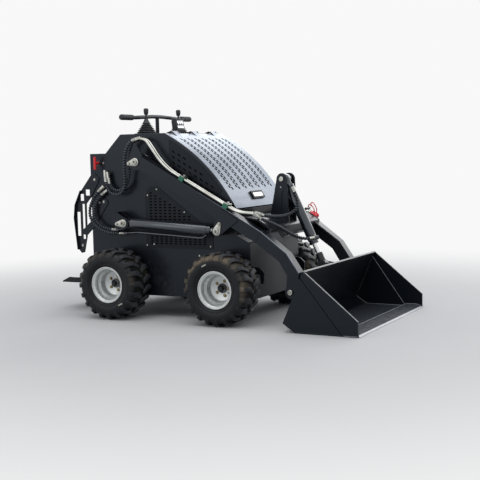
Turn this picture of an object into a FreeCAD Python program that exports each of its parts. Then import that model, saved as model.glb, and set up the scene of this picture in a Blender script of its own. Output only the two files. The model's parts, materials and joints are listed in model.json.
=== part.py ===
import FreeCAD, Part
import math
import os
import Sketcher
from FreeCAD import Placement, Rotation, Vector

# Compact stand-on wheeled loader with a front bucket, in millimetres.
# X points forward to the bucket, Y to the operator's left, Z up, and the tyres stand on Z = 0.
# Lengths along X are counted from the rear axle, and each piece's Placement then moves it back,
# so that the middle of the machine's length comes to X = 0.

SIZES = [
    # alias, value, what it is
    ("front_reach", 1746, "rear axle to the bucket's cutting edge"),
    ("rear_reach", 576, "rear axle to the platform's rear end"),
    ("wheelbase", 800, "rear axle to front axle"),
    ("tyre_diameter", 457, "over the lugs' corners"),
    ("tyre_width", 216, "over the sidewalls"),
    ("tyre_gap", 19, "between a side plate and a tyre"),
    ("tyre_wall", 12, "thickness of the rubber"),
    ("lug_height", 14, "tread lug above the carcass"),
    ("lug_reach", 56, "length of a lug round the tyre"),
    ("lug_count", 20, "lugs on each half of the tread"),
    ("flange_radius", 118, "rim flange"),
    ("seat_radius", 103, "bead seat of the rim"),
    ("well_radius", 88, "drop centre of the rim"),
    ("rim_width", 186, "over both rim flanges"),
    ("rim_gauge", 5, "thickness of the rim"),
    ("disc_offset", 4, "wheel disc's inner face outboard of the tyre's middle"),
    ("hub_radius", 62, "hub flange behind the wheel disc"),
    ("hub_depth", 24, "thickness of the hub flange"),
    ("cap_radius", 27, "hub nut in the middle of the disc"),
    ("cap_depth", 26, "hub nut outboard of the disc"),
    ("motor_radius", 56, "wheel motor on the side plate"),
    ("motor_flange", 10, "thickness of the wheel motor's flange"),
    ("motor_gap", 5, "between a wheel motor and the hub"),
    ("shaft_radius", 22, "motor shaft in the hub"),
    ("body_half", 358, "outer face of the side plates"),
    ("side_plate", 8, "thickness of the chassis plates"),
    ("body_bottom", 140, "underside of the chassis"),
    ("body_rear", 259, "rear wall behind the rear axle"),
    ("shelf_drop", 123, "rear shelf below the console's top"),
    ("shelf_depth", 126, "rear shelf from back to front"),
    ("console_height", 1200, "top of the console"),
    ("console_slope", 124, "console's sloped panel from back to front"),
    ("console_depth", 345, "front edge of the console's flat top ahead of the rear axle"),
    ("hood_foot_x", 851, "lower edge of the hood"),
    ("hood_foot_z", 717, "lower edge of the hood above the ground"),
    ("hood_bulge", 53, "rise of the hood's curve over its chord"),
    ("hood_gauge", 4, "thickness of the hood"),
    ("hood_lap", 2, "hood past the side plates"),
    ("slot_columns", 7, "double files of slots in the hood"),
    ("column_pitch", 92, "from one double file to the next"),
    ("file_pitch", 14, "between the two files of a column"),
    ("slot_rows", 17, "slots in a file of the hood"),
    ("slot_pitch", 29, "from one slot of a file to the next"),
    ("slot_start", 94, "first slot from the hood's upper edge"),
    ("slot_length", 20, "slot in the hood"),
    ("slot_width", 10, "slot in the hood"),
    ("hinge_rise", 7, "hood hinge's axis above the console"),
    ("hinge_wire", 3, "radius of the hood hinge's wire"),
    ("hinge_reach", 250, "outer hood hinges from the centre line"),
    ("knuckle_half", 30, "half length of a hood hinge's middle knuckle"),
    ("nose_x", 940, "front wall of the chassis"),
    ("nose_height", 500, "top of the front wall"),
    ("engine_length", 460, "engine block"),
    ("engine_width", 420, "engine block"),
    ("engine_height", 400, "engine block"),
    ("cover_gauge", 3, "thickness of the side covers and screens"),
    ("guard_gauge", 6, "thickness of the leg guards"),
    ("guard_rim", 18, "leg guard's rim past its plate"),
    ("pivot_x", 168, "arm pivot ahead of the rear axle"),
    ("pivot_z", 1018, "arm pivot above the ground"),
    ("pivot_pin", 20, "radius of the arm pivot pin"),
    ("pivot_eye", 54, "radius of the arm's rear eye"),
    ("beam_lift", 12, "arm's centre line above its pivot"),
    ("arm_gap", 22, "between a side plate and an arm"),
    ("arm_width", 70, "width of an arm"),
    ("arm_depth", 80, "depth of an arm's long beam"),
    ("arm_foot_depth", 76, "depth of an arm above its foot"),
    ("foot_x", 1262, "bucket pin ahead of the rear axle"),
    ("foot_z", 222, "bucket pin above the ground"),
    ("foot_pin", 16, "radius of the bucket pin"),
    ("foot_eye", 44, "radius of the arm's lower eye"),
    ("gusset_plate", 8, "thickness of the cylinder gussets on an arm"),
    ("lift_base_x", 56, "lift cylinder's lower pin ahead of the rear axle"),
    ("lift_base_z", 620, "lift cylinder's lower pin above the ground"),
    ("lift_eye_x", 761, "lift cylinder's rod pin ahead of the rear axle"),
    ("lift_eye_z", 580, "lift cylinder's rod pin above the ground"),
    ("cylinder_pin", 15, "radius of the cylinder pins"),
    ("lift_barrel", 33, "radius of a lift barrel"),
    ("lift_barrel_end", 645, "lift barrel's front end from its lower pin"),
    ("lift_rod", 16, "radius of a lift rod"),
    ("cylinder_eye", 30, "radius of a cylinder's eyes"),
    ("eye_width", 42, "width of a lift cylinder's eyes"),
    ("cross_wall", 8, "wall of the cross member between the arms"),
    ("tower_x", 1024, "tilt cylinder's upper pin ahead of the rear axle"),
    ("tower_z", 888, "tilt cylinder's upper pin above the ground"),
    ("tower_round", 38, "radius of the tower's top"),
    ("tower_half", 62, "outer face of the tower's ears"),
    ("ear_plate", 12, "thickness of the tower's and the coupler's ears"),
    ("tilt_eye_x", 1280, "tilt cylinder's rod pin ahead of the rear axle"),
    ("tilt_eye_z", 340, "tilt cylinder's rod pin above the ground"),
    ("tilt_barrel", 32, "radius of the tilt barrel"),
    ("tilt_barrel_end", 460, "tilt barrel's lower end from its upper pin"),
    ("tilt_rod", 16, "radius of the tilt rod"),
    ("tilt_eye_width", 50, "width of the tilt cylinder's eyes"),
    ("bucket_half", 594, "half width of the bucket"),
    ("bucket_top_x", 1403, "bucket's upper rear edge"),
    ("bucket_top_z", 372, "bucket's upper rear edge above the ground"),
    ("bucket_heel_x", 1263, "rearmost fold of the bucket"),
    ("bucket_heel_z", 55, "rearmost fold above the ground"),
    ("bucket_sole_x", 1345, "start of the bucket's flat floor"),
    ("bucket_tip_z", 93, "front upper corner of a bucket side"),
    ("bucket_plate", 7, "thickness of the bucket's plates"),
    ("wear_plate", 5, "thickness of the strips outside the bucket's sides"),
    ("edge_bar", 14, "thickness of the bar along the bucket's upper edge"),
    ("attach_margin", 5, "quick-attach plate past its outer ears"),
    ("attach_plate", 12, "thickness of the quick-attach plate"),
    ("bar_x", 56, "handlebar ahead of the rear axle"),
    ("lever_x", 101, "control levers ahead of the rear axle"),
    ("lever_reach", 205, "control levers from the centre line"),
    ("lamp_x", 226, "middle of the work lamp ahead of the rear axle"),
    ("bar_rise", 110, "middle of the handlebar above the console"),
    ("bar_half", 432, "half length of the handlebar"),
    ("bar_radius", 13, "radius of the handlebar's tube"),
    ("platform_height", 191, "underside of the platform"),
    ("platform_half", 300, "half width of the platform"),
    ("platform_hinge", 310, "platform's hinge behind the rear axle"),
    ("platform_gauge", 6, "thickness of the platform's plates"),
    ("hinge_pin", 7, "radius of the platform's hinge pin"),
    ("hose_radius", 8, "pressure hose"),
    ("nut_radius", 13, "hose nut over its corners, as a radius"),
    ("nut_length", 26, "hose nut"),
    ("pipe_radius", 8, "steel pipe"),
    ("pipe_rise", 16, "middle of the steel pipes above an arm"),
    ("pipe_pitch", 28, "between the two pipes of an arm"),
    ("clamp_length", 34, "pipe clamp along the arm"),
    ("coupler_start", 868, "rear end of the auxiliary couplers along the arm"),
    ("coupler_rise", 22, "middle of the couplers above the arm"),
    ("coupler_pitch", 40, "between the two auxiliary couplers"),
    ("fit_gap", 0.05, "running clearance of a pin in its eye"),
    ("open_gap", 3, "side clearance between moving pieces"),
    ("seat_gap", 0.3, "gap between a hose's end and its fitting"),
]

doc = FreeCAD.newDocument("loader")
sheet = doc.addObject("Spreadsheet::Sheet", "sizes")
for row, (alias, value, note) in enumerate(SIZES, 1):
    sheet.set(f"A{row}", note)
    sheet.set(f"B{row}", str(value))
    sheet.setAlias(f"B{row}", alias)
doc.recompute()


class Size:
    """A length together with the sheet formula that gives it."""

    def __init__(self, value, text):
        self.value = float(value)
        self.text = text

    def __float__(self):
        return self.value

    def __add__(self, other):
        return combine(self, other, "+", self.value + float(other))

    def __radd__(self, other):
        return combine(other, self, "+", float(other) + self.value)

    def __sub__(self, other):
        return combine(self, other, "-", self.value - float(other))

    def __rsub__(self, other):
        return combine(other, self, "-", float(other) - self.value)

    def __mul__(self, other):
        return combine(self, other, "*", self.value * float(other))

    def __rmul__(self, other):
        return combine(other, self, "*", float(other) * self.value)

    def __truediv__(self, other):
        return combine(self, other, "/", self.value / float(other))

    def __neg__(self):
        return combine(0, self, "-", -self.value)


def formula(number):
    return number.text if isinstance(number, Size) else f"{float(number):.4f}"


def combine(first, second, sign, value):
    return Size(value, f"({formula(first)} {sign} {formula(second)})")


S = {alias: Size(getattr(sheet, alias), f"sizes.{alias}") for alias, value, note in SIZES}
S["tyre_middle"] = S["body_half"] + S["tyre_gap"] + S["tyre_width"] / 2
S["arm_inner"] = S["body_half"] + S["arm_gap"]
S["arm_outer"] = S["arm_inner"] + S["arm_width"]
S["arm_middle"] = S["arm_inner"] + S["arm_width"] / 2
S["hood_half"] = S["body_half"] + S["hood_lap"]
S["shelf_height"] = S["console_height"] - S["shelf_drop"]
S["bar_height"] = S["console_height"] + S["bar_rise"]
S["attach_half"] = S["arm_outer"] + S["open_gap"] + S["ear_plate"] + S["attach_margin"]
S["axle_z"] = S["tyre_diameter"] / 2
V = {alias: float(S[alias]) for alias in S}
MIDDLE = (S["rear_reach"] - S["front_reach"]) / 2
ROLE = {"side": "XZ_Plane", "front": "YZ_Plane", "top": "XY_Plane"}
pieces = []


# Outlines and routes

# Corners are (x, z). Those of a plate round a pin are counted from that pin.
GUSSET = [(30, 142), (151, 70), (18, -27), (-11, -29), (-28, -6), (-24, 30), (-2, 84)]
LIFT_EAR = [(-62, -30), (-84, 20), (-64, 73), (-46, 70), (28, 24), (34, -8), (10, -36)]
CROSS = [(900, 664), (1010, 650), (1090, 598), (1080, 545), (990, 515), (915, 548)]
COVER = [(175, 455), (175, 800), (212, 856), (268, 858), (680, 562), (680, 455)]
GUARD = [(-186, 914), (-222, 948), (-256, 932), (-338, 833), (-386, 735), (-397, 645),
         (-374, 430), (-352, 406),
         (-326, 412), (-300, 520), (-298, 742), (-262, 780), (-196, 886)]
GUARD_WINDOWS = [
    # x from, x to, z from, z to
    (-379, -352, 523, 686), (-334, -314, 503, 741), (-346, -318, 762, 808), (-302, -268, 798, 838),
]
STRUT = [(-132, 730), (-170, 775), (-246, 640), (-334, 566), (-334, 534), (-300, 528), (-232, 590)]
HOOK = [(0, 350), (34, 346), (70, 313), (66, 246), (46, 242), (40, 300), (0, 306)]
CHEEK = [(0, 0), (274, 4), (274, 26), (246, 38), (100, 35), (62, 37), (6, 10)]

# Each route is (x, y, z) for the left side, with y counted outward from the side plate. It starts at
# the chassis and ends at the arm's pipe or the cylinder.
SIDE_HOSES = {
    "arm_hose_outer": [(-118, 26, 922), (-112, 32, 858), (-60, 46, 806), (14, 58, 805), (66, 66, 857),
                       (63, 70, 937), (67, 71, 1019), (79, 71, 1097), (116, 71, 1152), (168, 71, 1164)],
    "arm_hose_inner": [(-92, 26, 912), (-84, 28, 866), (-44, 34, 832), (12, 39, 832), (58, 42, 866),
                       (82, 43, 926), (86, 43, 996), (88, 43, 1066), (102, 43, 1126), (134, 43, 1158),
                       (168, 43, 1164)],
    "lift_hose_outer": [(-155, 26, 846), (-193, 30, 812), (-226, 36, 768), (-244, 42, 716), (-240, 50, 662),
                        (-206, 58, 612), (-149, 62, 574), (-81, 62, 551), (-14, 60, 550), (38, 57, 552)],
    "lift_hose_inner": [(-126, 26, 822), (-170, 27, 792), (-202, 28, 752), (-220, 30, 704), (-216, 34, 656),
                        (-190, 38, 616), (-146, 42, 588), (-84, 48, 575), (-22, 57, 576)],
}
# These start at the right arm's pipes, with y from the centre line.
TILT_HOSES = {
    "tilt_hose_upper": [(1046, -378, 676), (1060, -322, 668), (1063, -244, 660), (1068, -166, 656),
                        (1090, -96, 664), (1122, -56, 694), (1130, -50, 744), (1112, -48, 792),
                        (1088, -48, 836)],
    "tilt_hose_lower": [(1050, -404, 652), (1084, -352, 630), (1108, -286, 600), (1132, -214, 562),
                        (1162, -146, 526), (1202, -94, 508), (1250, -68, 516)],
}
PIPE_END = (998, 690)
NUT_COLUMN = 44


# Helpers

def place(piece, x=0, y=0, z=0):
    """Moves a piece from the rear axle's frame to the machine's frame, bound to the sheet."""
    for axis, shift in (("x", MIDDLE + x), ("y", y), ("z", z)):
        if isinstance(shift, Size):
            piece.setExpression(f"Placement.Base.{axis}", shift.text)
    pieces.append(piece)


def new_body(label):
    body = doc.addObject("PartDesign::Body", label)
    body.Label = label
    return body


def sketch_outline(body, plane, points):
    """A closed outline of straight lines whose corners are bound to the sheet."""
    sketch = body.newObject("Sketcher::SketchObject", f"{body.Name}_sketch")
    origin = [item for item in body.Origin.OriginFeatures if item.Role == ROLE[plane]][0]
    sketch.AttachmentSupport = [(origin, "")]
    sketch.MapMode = "FlatFace"
    corners = [Vector(float(x), float(y), 0) for x, y in points]
    count = len(corners)
    for i in range(count):
        sketch.addGeometry(Part.LineSegment(corners[i], corners[(i + 1) % count]), False)
    for i in range(count):
        sketch.addConstraint(Sketcher.Constraint("Coincident", i, 2, (i + 1) % count, 1))
    for i, (x, y) in enumerate(points):
        for kind, value in (("DistanceX", x), ("DistanceY", y)):
            index = sketch.addConstraint(Sketcher.Constraint(kind, -1, 1, i, 1, float(value)))
            if isinstance(value, Size):
                sketch.setExpression(f"Constraints[{index}]", value.text)
    return sketch


def padded(label, points, width):
    """A body of one constant outline across the machine's centre line."""
    body = new_body(label)
    pad = body.newObject("PartDesign::Pad", f"{label}_pad")
    pad.Profile = sketch_outline(body, "side", points)
    pad.setExpression("Length", formula(width))
    pad.SideType = "Symmetric"
    place(body)


def turned(label, points):
    """A body revolved about its own Y axis from points of (place along Y, radius)."""
    body = new_body(label)
    feature = body.newObject("PartDesign::Revolution", f"{label}_turn")
    sketch = sketch_outline(body, "front", points)
    feature.Profile = sketch
    feature.ReferenceAxis = (sketch, ["H_Axis"])
    return body


def feature(label, shape, x=0, y=0, z=0):
    piece = doc.addObject("Part::Feature", label)
    piece.Label = label
    piece.Shape = shape
    place(piece, x, y, z)


def plate(points, low, high):
    """A plate standing along the machine, from y = low to y = high."""
    wire = Part.makePolygon([Vector(x, low, z) for x, z in points + points[:1]])
    return Part.Face(wire).extrude(Vector(0, high - low, 0))


def box(low, high):
    return Part.makeBox(*[high[i] - low[i] for i in range(3)], Vector(*low))


def rod(radius, start, end):
    """A round bar between two points."""
    a = Vector(*start)
    b = Vector(*end)
    return Part.makeCylinder(radius, (b - a).Length, a, b - a)


def bent_rod(radius, points):
    """A round bar along a polyline, with a ball at each bend."""
    bars = [rod(radius, a, b) for a, b in zip(points, points[1:])]
    return fuse(bars + [Part.makeSphere(radius, Vector(*point)) for point in points[1:-1]])


def pin(radius, x, z, low, high):
    return rod(radius, (x, low, z), (x, high, z))


def fuse(shapes):
    return shapes[0].multiFuse(shapes[1:]).removeSplitter()


def mirrored(shape):
    return shape.mirror(Vector(), Vector(0, 1, 0))


def both_sides(shape):
    """The piece and its mirror image across the machine's centre line."""
    return Part.makeCompound([shape, mirrored(shape)])


def shifted(points, x, z):
    return [(px + x, pz + z) for px, pz in points]


def unit(a, b):
    length = math.dist(a, b)
    return ((b[0] - a[0]) / length, (b[1] - a[1]) / length)


def crossing(p, d, q, e):
    """Where the line through p along d meets the line through q along e."""
    det = d[0] * e[1] - d[1] * e[0]
    t = ((q[0] - p[0]) * e[1] - (q[1] - p[1]) * e[0]) / det
    return (p[0] + t * d[0], p[1] + t * d[1])


def beside(points, offsets):
    """A polyline moved to its left by one offset at each of its points, mitred at the corners."""
    lines = []
    for i in range(len(points) - 1):
        d = unit(points[i], points[i + 1])
        ends = [(points[i + k][0] - d[1] * offsets[i + k], points[i + k][1] + d[0] * offsets[i + k])
                for k in (0, 1)]
        lines.append((ends[0], unit(*ends), ends[1]))
    out = [lines[0][0]]
    for before, after in zip(lines, lines[1:]):
        out.append(crossing(before[0], before[1], after[0], after[1]))
    out.append(lines[-1][2])
    return out


def band(points, half_depths):
    """The outline of a beam of changing depth along a polyline."""
    upper = beside(points, half_depths)
    lower = beside(points, [-half for half in half_depths])
    return upper + lower[::-1]


def slots(places, length, width, depth):
    """Cutters for slots, from places of (x, y, z, slope in degrees, down towards the front)."""
    cutters = []
    for x, y, z, slope in places:
        cutter = Part.makeBox(length, width, depth, Vector(-length / 2, -width / 2, -depth / 2))
        cutter.Placement = Placement(Vector(x, y, z), Rotation(Vector(0, 1, 0), slope))
        cutters.append(cutter)
    return Part.makeCompound(cutters)


def tube(route, radius):
    """A hose along straight runs with an arc at each inner point of the route."""
    points = [Vector(*p) for p in route]
    edges = []
    bends = []
    start = points[0]
    for before, corner, after in zip(points, points[1:], points[2:]):
        into = (corner - before).normalize()
        away = (after - corner).normalize()
        turn = into.getAngle(away)
        cut = 0.45 * min((corner - before).Length, (after - corner).Length)
        first = corner - into * cut
        last = corner + away * cut
        middle = (away - into).normalize()
        bend = cut / math.tan(turn / 2)
        top = corner + middle * (bend / math.cos(turn / 2) - bend)
        edges.append(Part.LineSegment(start, first).toShape())
        edges.append(Part.Arc(first, top, last).toShape())
        bends.append(bend)
        start = last
    edges.append(Part.LineSegment(start, points[-1]).toShape())
    path = Part.Wire(edges)
    section = Part.Wire(Part.Circle(points[0], points[1] - points[0], radius).toShape())
    return path.makePipeShell([section], True, False), path.Length, min(bends)


def beyond(end, inner, distance):
    """The point past a hose's end, straight on from its last run."""
    run = Vector(*end) - Vector(*inner)
    point = Vector(*end) + run.normalize() * distance
    return (point.x, point.y, point.z)


def nut(end, inner, length):
    """The hexagonal fitting that a hose's end butts against."""
    start = Vector(*beyond(end, inner, V["seat_gap"]))
    run = Vector(*beyond(end, inner, length)) - start
    across = run.cross(Vector(0, 1, 0)).normalize() * V["nut_radius"]
    turn = Rotation(run, 60)
    corners = [across]
    for corner in range(5):
        corners.append(turn.multVec(corners[-1]))
    return Part.Face(Part.makePolygon([start + corner for corner in corners + corners[:1]])).extrude(run)


def side_route(name):
    return [(x, V["body_half"] + y, z) for x, y, z in SIDE_HOSES[name]]


def tilt_route(name):
    """A tilt hose from the front end of its pipe, which the outer or inner side of the right arm carries."""
    side = {"tilt_hose_upper": -0.5, "tilt_hose_lower": 0.5}[name]
    x, z = PIPE_END
    start = (x + V["nut_length"], -V["arm_middle"] - side * V["pipe_pitch"], z - 7 - 8 * side)
    return [start] + TILT_HOSES[name]


# Wheels

def make_tyre(side):
    """A hollow tyre of flat facets with hooked lugs on each half of its tread; side is -1 or 1."""
    half = V["tyre_width"] / 2
    tip = V["tyre_diameter"] / 2
    face = math.sqrt(tip ** 2 - (V["lug_reach"] / 2) ** 2)
    carcass = face - V["lug_height"]
    seat = V["seat_radius"] + 2
    bead = V["rim_width"] / 2 - V["rim_gauge"]
    wall = V["tyre_wall"]
    count = int(V["lug_count"])
    spread = 1 / math.cos(math.pi / count)
    flange = V["flange_radius"] + 4
    shoulder = carcass * spread
    outer = [(-bead, seat), (-bead, flange), (-half, flange + 43), (8 - half, shoulder - 20),
             (24 - half, shoulder), (half - 24, shoulder), (half - 8, shoulder - 20),
             (half, flange + 43), (bead, flange), (bead, seat)]
    inner = [(bead - wall, seat), (half - 2 * wall, carcass - wall), (2 * wall - half, carcass - wall),
             (wall - bead, seat)]
    profile = outer + inner
    tip_angle = math.degrees(math.asin(V["lug_reach"] / 2 / tip))
    step = 360 / count
    # One corner of a lug points straight down, so that the tyre stands on its lugs.
    phase = -90 - tip_angle

    def at(k, y, radius):
        angle = math.radians(phase + (k + 0.5) * step)
        return Vector(radius * math.cos(angle), y, radius * math.sin(angle))

    faces = []
    for k in range(count):
        for (y1, r1), (y2, r2) in zip(profile, profile[1:] + profile[:1]):
            ring = [at(k, y1, r1), at(k, y2, r2), at(k + 1, y2, r2), at(k + 1, y1, r1)]
            faces.append(Part.Face(Part.makePolygon(ring + ring[:1])))
    body = Part.Solid(Part.makeShell(faces))
    if body.Volume < 0:
        body.reverse()
    reach = V["lug_reach"] / 2
    # A lug as seen from outside: (along the tread, out from the tyre's middle).
    hook = [(-reach, half - 10), (4 - reach, half - 52), (reach - 22, 2), (reach, 10), (6, half - 50),
            (4, half - 10)]
    lugs = []
    for k in range(count):
        for hand, turn in ((1, 0), (-1, step / 2)):
            corners = [Vector(carcass - 12, hand * out, along) for along, out in hook]
            outline = Part.makePolygon(corners + corners[:1])
            lug = Part.Face(outline).extrude(Vector(face - carcass + 12, 0, 0))
            lug.rotate(Vector(), Vector(0, -1, 0), phase + k * step + turn)
            lugs.append(lug)
    tyre = body.multiFuse(lugs)
    return tyre if side > 0 else mirrored(tyre)


def make_wheels():
    """Four tyres and four dished rims with their hubs, each about its own axle."""
    seat = S["seat_radius"]
    bead = S["rim_width"] / 2 - S["rim_gauge"]
    gauge = S["rim_gauge"]
    flange = S["flange_radius"]
    well = S["well_radius"]
    edge = S["rim_width"] / 2
    disc = S["disc_offset"]
    rim = [
        (edge, flange), (bead, flange), (bead, seat), (54, seat - 2), (42, well), (-54, well),
        (-62, seat - 2), (-bead, seat), (-bead, flange), (-edge, flange), (-edge, flange - gauge),
        (-gauge - bead, seat - gauge), (-66, seat - gauge - 2), (-58, well - gauge),
        (disc - 4, well - gauge), (disc, well - gauge - 18), (disc, S["hub_radius"]),
        (disc - S["hub_depth"], S["hub_radius"]),
        (disc - S["hub_depth"], S["shaft_radius"] + S["fit_gap"]),
        (disc + gauge, S["shaft_radius"] + S["fit_gap"]), (disc + gauge + 4, 8),
        (disc + gauge + S["cap_depth"], 8), (disc + gauge + S["cap_depth"], S["cap_radius"] - 4),
        (disc + gauge + S["cap_depth"] - 4, S["cap_radius"]), (disc + gauge, S["cap_radius"]),
        (disc + gauge, well - gauge - 20), (disc + gauge + 6, well - gauge), (38, well - gauge),
        (50, seat - gauge - 2), (bead, seat - gauge), (bead + 1, flange - gauge), (edge, flange - gauge),
    ]
    for side, sign in (("right", -1), ("left", 1)):
        tyre = make_tyre(sign)
        for end, x in (("rear", 0), ("front", S["wheelbase"])):
            feature(f"tyre_{end}_{side}", tyre.copy(), x, sign * S["tyre_middle"], S["axle_z"])
            body = turned(f"wheel_{end}_{side}", [(sign * along, radius) for along, radius in rim])
            place(body, x, sign * S["tyre_middle"], S["axle_z"])


def make_wheel_motors():
    """The motor housings and shafts that carry the wheels."""
    half = V["body_half"]
    disc = V["tyre_middle"] + V["disc_offset"]
    face = disc - V["hub_depth"] - V["motor_gap"]
    radius = V["motor_radius"]
    z = V["axle_z"]
    motors = []
    for x in (0, V["wheelbase"]):
        housing = pin(radius, x, z, half, face)
        flange = pin(radius + 16, x, z, half, half + V["motor_flange"])
        shaft = pin(V["shaft_radius"], x, z, face, disc)
        motors.append(both_sides(fuse([housing, flange, shaft])))
    feature("wheel_motors", Part.makeCompound(motors))


# Chassis

def hood_arc():
    """Centre and radius of the hood's outer curve in the X-Z plane, and the curve's two ends."""
    top = (V["console_depth"], V["console_height"])
    foot = (V["hood_foot_x"], V["hood_foot_z"])
    chord = math.dist(top, foot)
    rise = V["hood_bulge"]
    radius = chord ** 2 / (8 * rise) + rise / 2
    d = unit(top, foot)
    middle = ((top[0] + foot[0]) / 2, (top[1] + foot[1]) / 2)
    reach = radius - rise
    return (middle[0] + d[1] * reach, middle[1] - d[0] * reach), radius, top, foot


def on_hood(along, inset):
    """A point on the hood's curve, counted from its upper end, and its slope down in degrees."""
    centre, radius, top, _ = hood_arc()
    start = math.atan2(top[1] - centre[1], top[0] - centre[0])
    angle = start - along / radius
    reach = radius - inset
    point = (centre[0] + reach * math.cos(angle), centre[1] + reach * math.sin(angle))
    return point, 90 - math.degrees(angle)


def hood_length():
    _, radius, top, foot = hood_arc()
    return 2 * radius * math.asin(math.dist(top, foot) / 2 / radius)


def hood_edge(first, last, inset, y):
    """The hood's curve between two distances from its upper end, as an arc at one y."""
    places = [on_hood(along, inset)[0] for along in (first, (first + last) / 2, last)]
    return Part.Arc(*[Vector(x, y, z) for x, z in places]).toShape()


def closed_face(edges, points, y):
    """A face bounded by an arc and then by straight lines through the points back to its start."""
    corners = [edges[0].Vertexes[-1].Point] + [Vector(x, y, z) for x, z in points]
    corners.append(edges[0].Vertexes[0].Point)
    lines = [Part.LineSegment(a, b).toShape() for a, b in zip(corners, corners[1:])]
    return Part.Face(Part.Wire(edges + lines))


def body_face(inset, y):
    """The side outline of the chassis, drawn in by a wall, with the hood's curve as an arc."""
    under = V["hood_gauge"] + V["seat_gap"] + inset
    length = hood_length()
    foot_x = on_hood(length, under)[0][0]
    start_x = on_hood(0, under)[0][0]
    rear = -V["body_rear"] + inset
    low = V["body_bottom"] + inset
    shelf = V["shelf_height"] - inset
    roof = V["console_height"] - inset
    slope = -V["body_rear"] + V["shelf_depth"] + inset / 2
    throat = V["hood_foot_z"] - 0.78 * (V["hood_foot_z"] - V["nose_height"])
    nose = V["nose_x"] - inset
    points = [(foot_x, throat), (nose, V["nose_height"] - inset / 2), (nose, low), (rear, low), (rear, shelf),
              (slope, shelf), (slope + V["console_slope"], roof), (start_x - 8, roof)]
    return closed_face([hood_edge(0, length, under, y)], points, y)


def make_chassis():
    """A welded tub: side plates, belly, rear wall, console top and front wall, open under the hood."""
    half = V["body_half"]
    wall = V["side_plate"]
    solid = body_face(0, -half).extrude(Vector(0, 2 * half, 0))
    hollow = body_face(wall, wall - half).extrude(Vector(0, 2 * (half - wall), 0))
    frame = solid.cut(hollow)
    top, foot = hood_arc()[2:]
    reach = 60
    mouth = plate([(top[0] + 4, top[1] + reach), (foot[0] + reach, top[1] + reach),
                   (foot[0] + reach, foot[1] - 8), (foot[0] - 40, foot[1] - 8), (top[0] + 4, top[1] - reach)],
                  wall - half, half - wall)
    frame = frame.cut(mouth)
    hooks = [plate(shifted(HOOK, V["nose_x"], 0), sign * (half - 50) - 6, sign * (half - 50) + 6)
             for sign in (-1, 1)]
    feature("chassis_frame", fuse([frame] + hooks))


def make_engine():
    """The engine and pump as one plain block on the belly plate."""
    block = doc.addObject("Part::Box", "engine_block")
    block.Label = "engine_block"
    block.setExpression("Length", S["engine_length"].text)
    block.setExpression("Width", S["engine_width"].text)
    block.setExpression("Height", S["engine_height"].text)
    floor = S["body_bottom"] + S["side_plate"]
    place(block, S["wheelbase"] / 2 - S["engine_length"] / 2, -S["engine_width"] / 2, floor)


def make_side_covers():
    """The removable covers under the arms, bolted flat on the side plates, with their air slots."""
    y = V["body_half"]
    gauge = V["cover_gauge"]
    places = []
    pitch = 36
    for column in range(9):
        for row in range(10 - column):
            places.append((218 + pitch * column, y, 643 + 19 * row, 0))
    for column in range(12):
        for z in (485, 500, 515, 530):
            places.append((222 + pitch * column, y, z, 0))
    cover = plate(COVER, y, y + gauge).cut(slots(places, 20, 4 * gauge, 8))
    feature("side_covers", both_sides(cover))


def make_side_screens():
    """The screens between the arms and the hood's curve, with slanted holes."""
    y = V["body_half"]
    gauge = V["cover_gauge"]
    inset = 26
    length = hood_length()
    arc = hood_edge(40, 0.8 * length, inset, y)
    low = on_hood(0.8 * length, inset)[0]
    high = on_hood(40, inset)[0]
    line = beside(arm_line()[:2], [V["arm_depth"] / 2 - 6] * 2)
    slope = (line[1][1] - line[0][1]) / (line[1][0] - line[0][0])
    rear = (high[0], line[0][1] + slope * (high[0] - line[0][0]))
    front = (low[0] - 90, line[0][1] + slope * (low[0] - 90 - line[0][0]))
    screen = closed_face([arc], [front, rear], y).extrude(Vector(0, gauge, 0))
    places = []
    for column in range(10):
        x = high[0] + 34 + 40 * column
        for row in range(8):
            z = rear[1] + slope * 40 * column + 12 + 36 * row
            roof = min(on_hood(along, inset + 24)[0] for along in range(0, int(length), 10)
                       if on_hood(along, inset + 24)[0][0] > x + 4)[1]
            if z < roof - 12:
                places.append((x, y, z, 40))
    feature("side_screens", both_sides(screen.cut(slots(places, 25, 4 * gauge, 8))))


def make_leg_guards():
    """Windowed plates at the operator's legs with a rim behind, each bolted on with a strut."""
    y = V["body_half"]
    out = y + V["guard_gauge"]
    guard = plate(GUARD, y, out)
    for low_x, high_x, low_z, high_z in GUARD_WINDOWS:
        guard = guard.cut(box((low_x, y - 1, low_z), (high_x, out + 1, high_z)))
    rear = GUARD[3:7]
    rim = plate(rear + beside(rear, [V["guard_gauge"]] * 4)[::-1], y, out + V["guard_rim"])
    strut = plate(STRUT, y, out)
    feature("leg_guards", both_sides(fuse([guard, rim, strut, pin(28, -150, 750, y, out)])))


def boot(x, y, z):
    """A lever's rubber boot with its folds, narrowing upwards."""
    profile = [Vector(0, 0, 0), Vector(84, 0, 0), Vector(84, 0, 6)]
    for fold in range(4):
        radius = 70 - 13 * fold
        height = 12 + 21 * fold
        profile += [Vector(radius - 8, 0, height), Vector(radius, 0, height + 10)]
    profile += [Vector(14, 0, 97), Vector(0, 0, 97), Vector(0, 0, 0)]
    solid = Part.Face(Part.makePolygon(profile)).revolve(Vector(), Vector(0, 0, 1), 360)
    solid.translate(Vector(x, y, z))
    return solid


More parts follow.
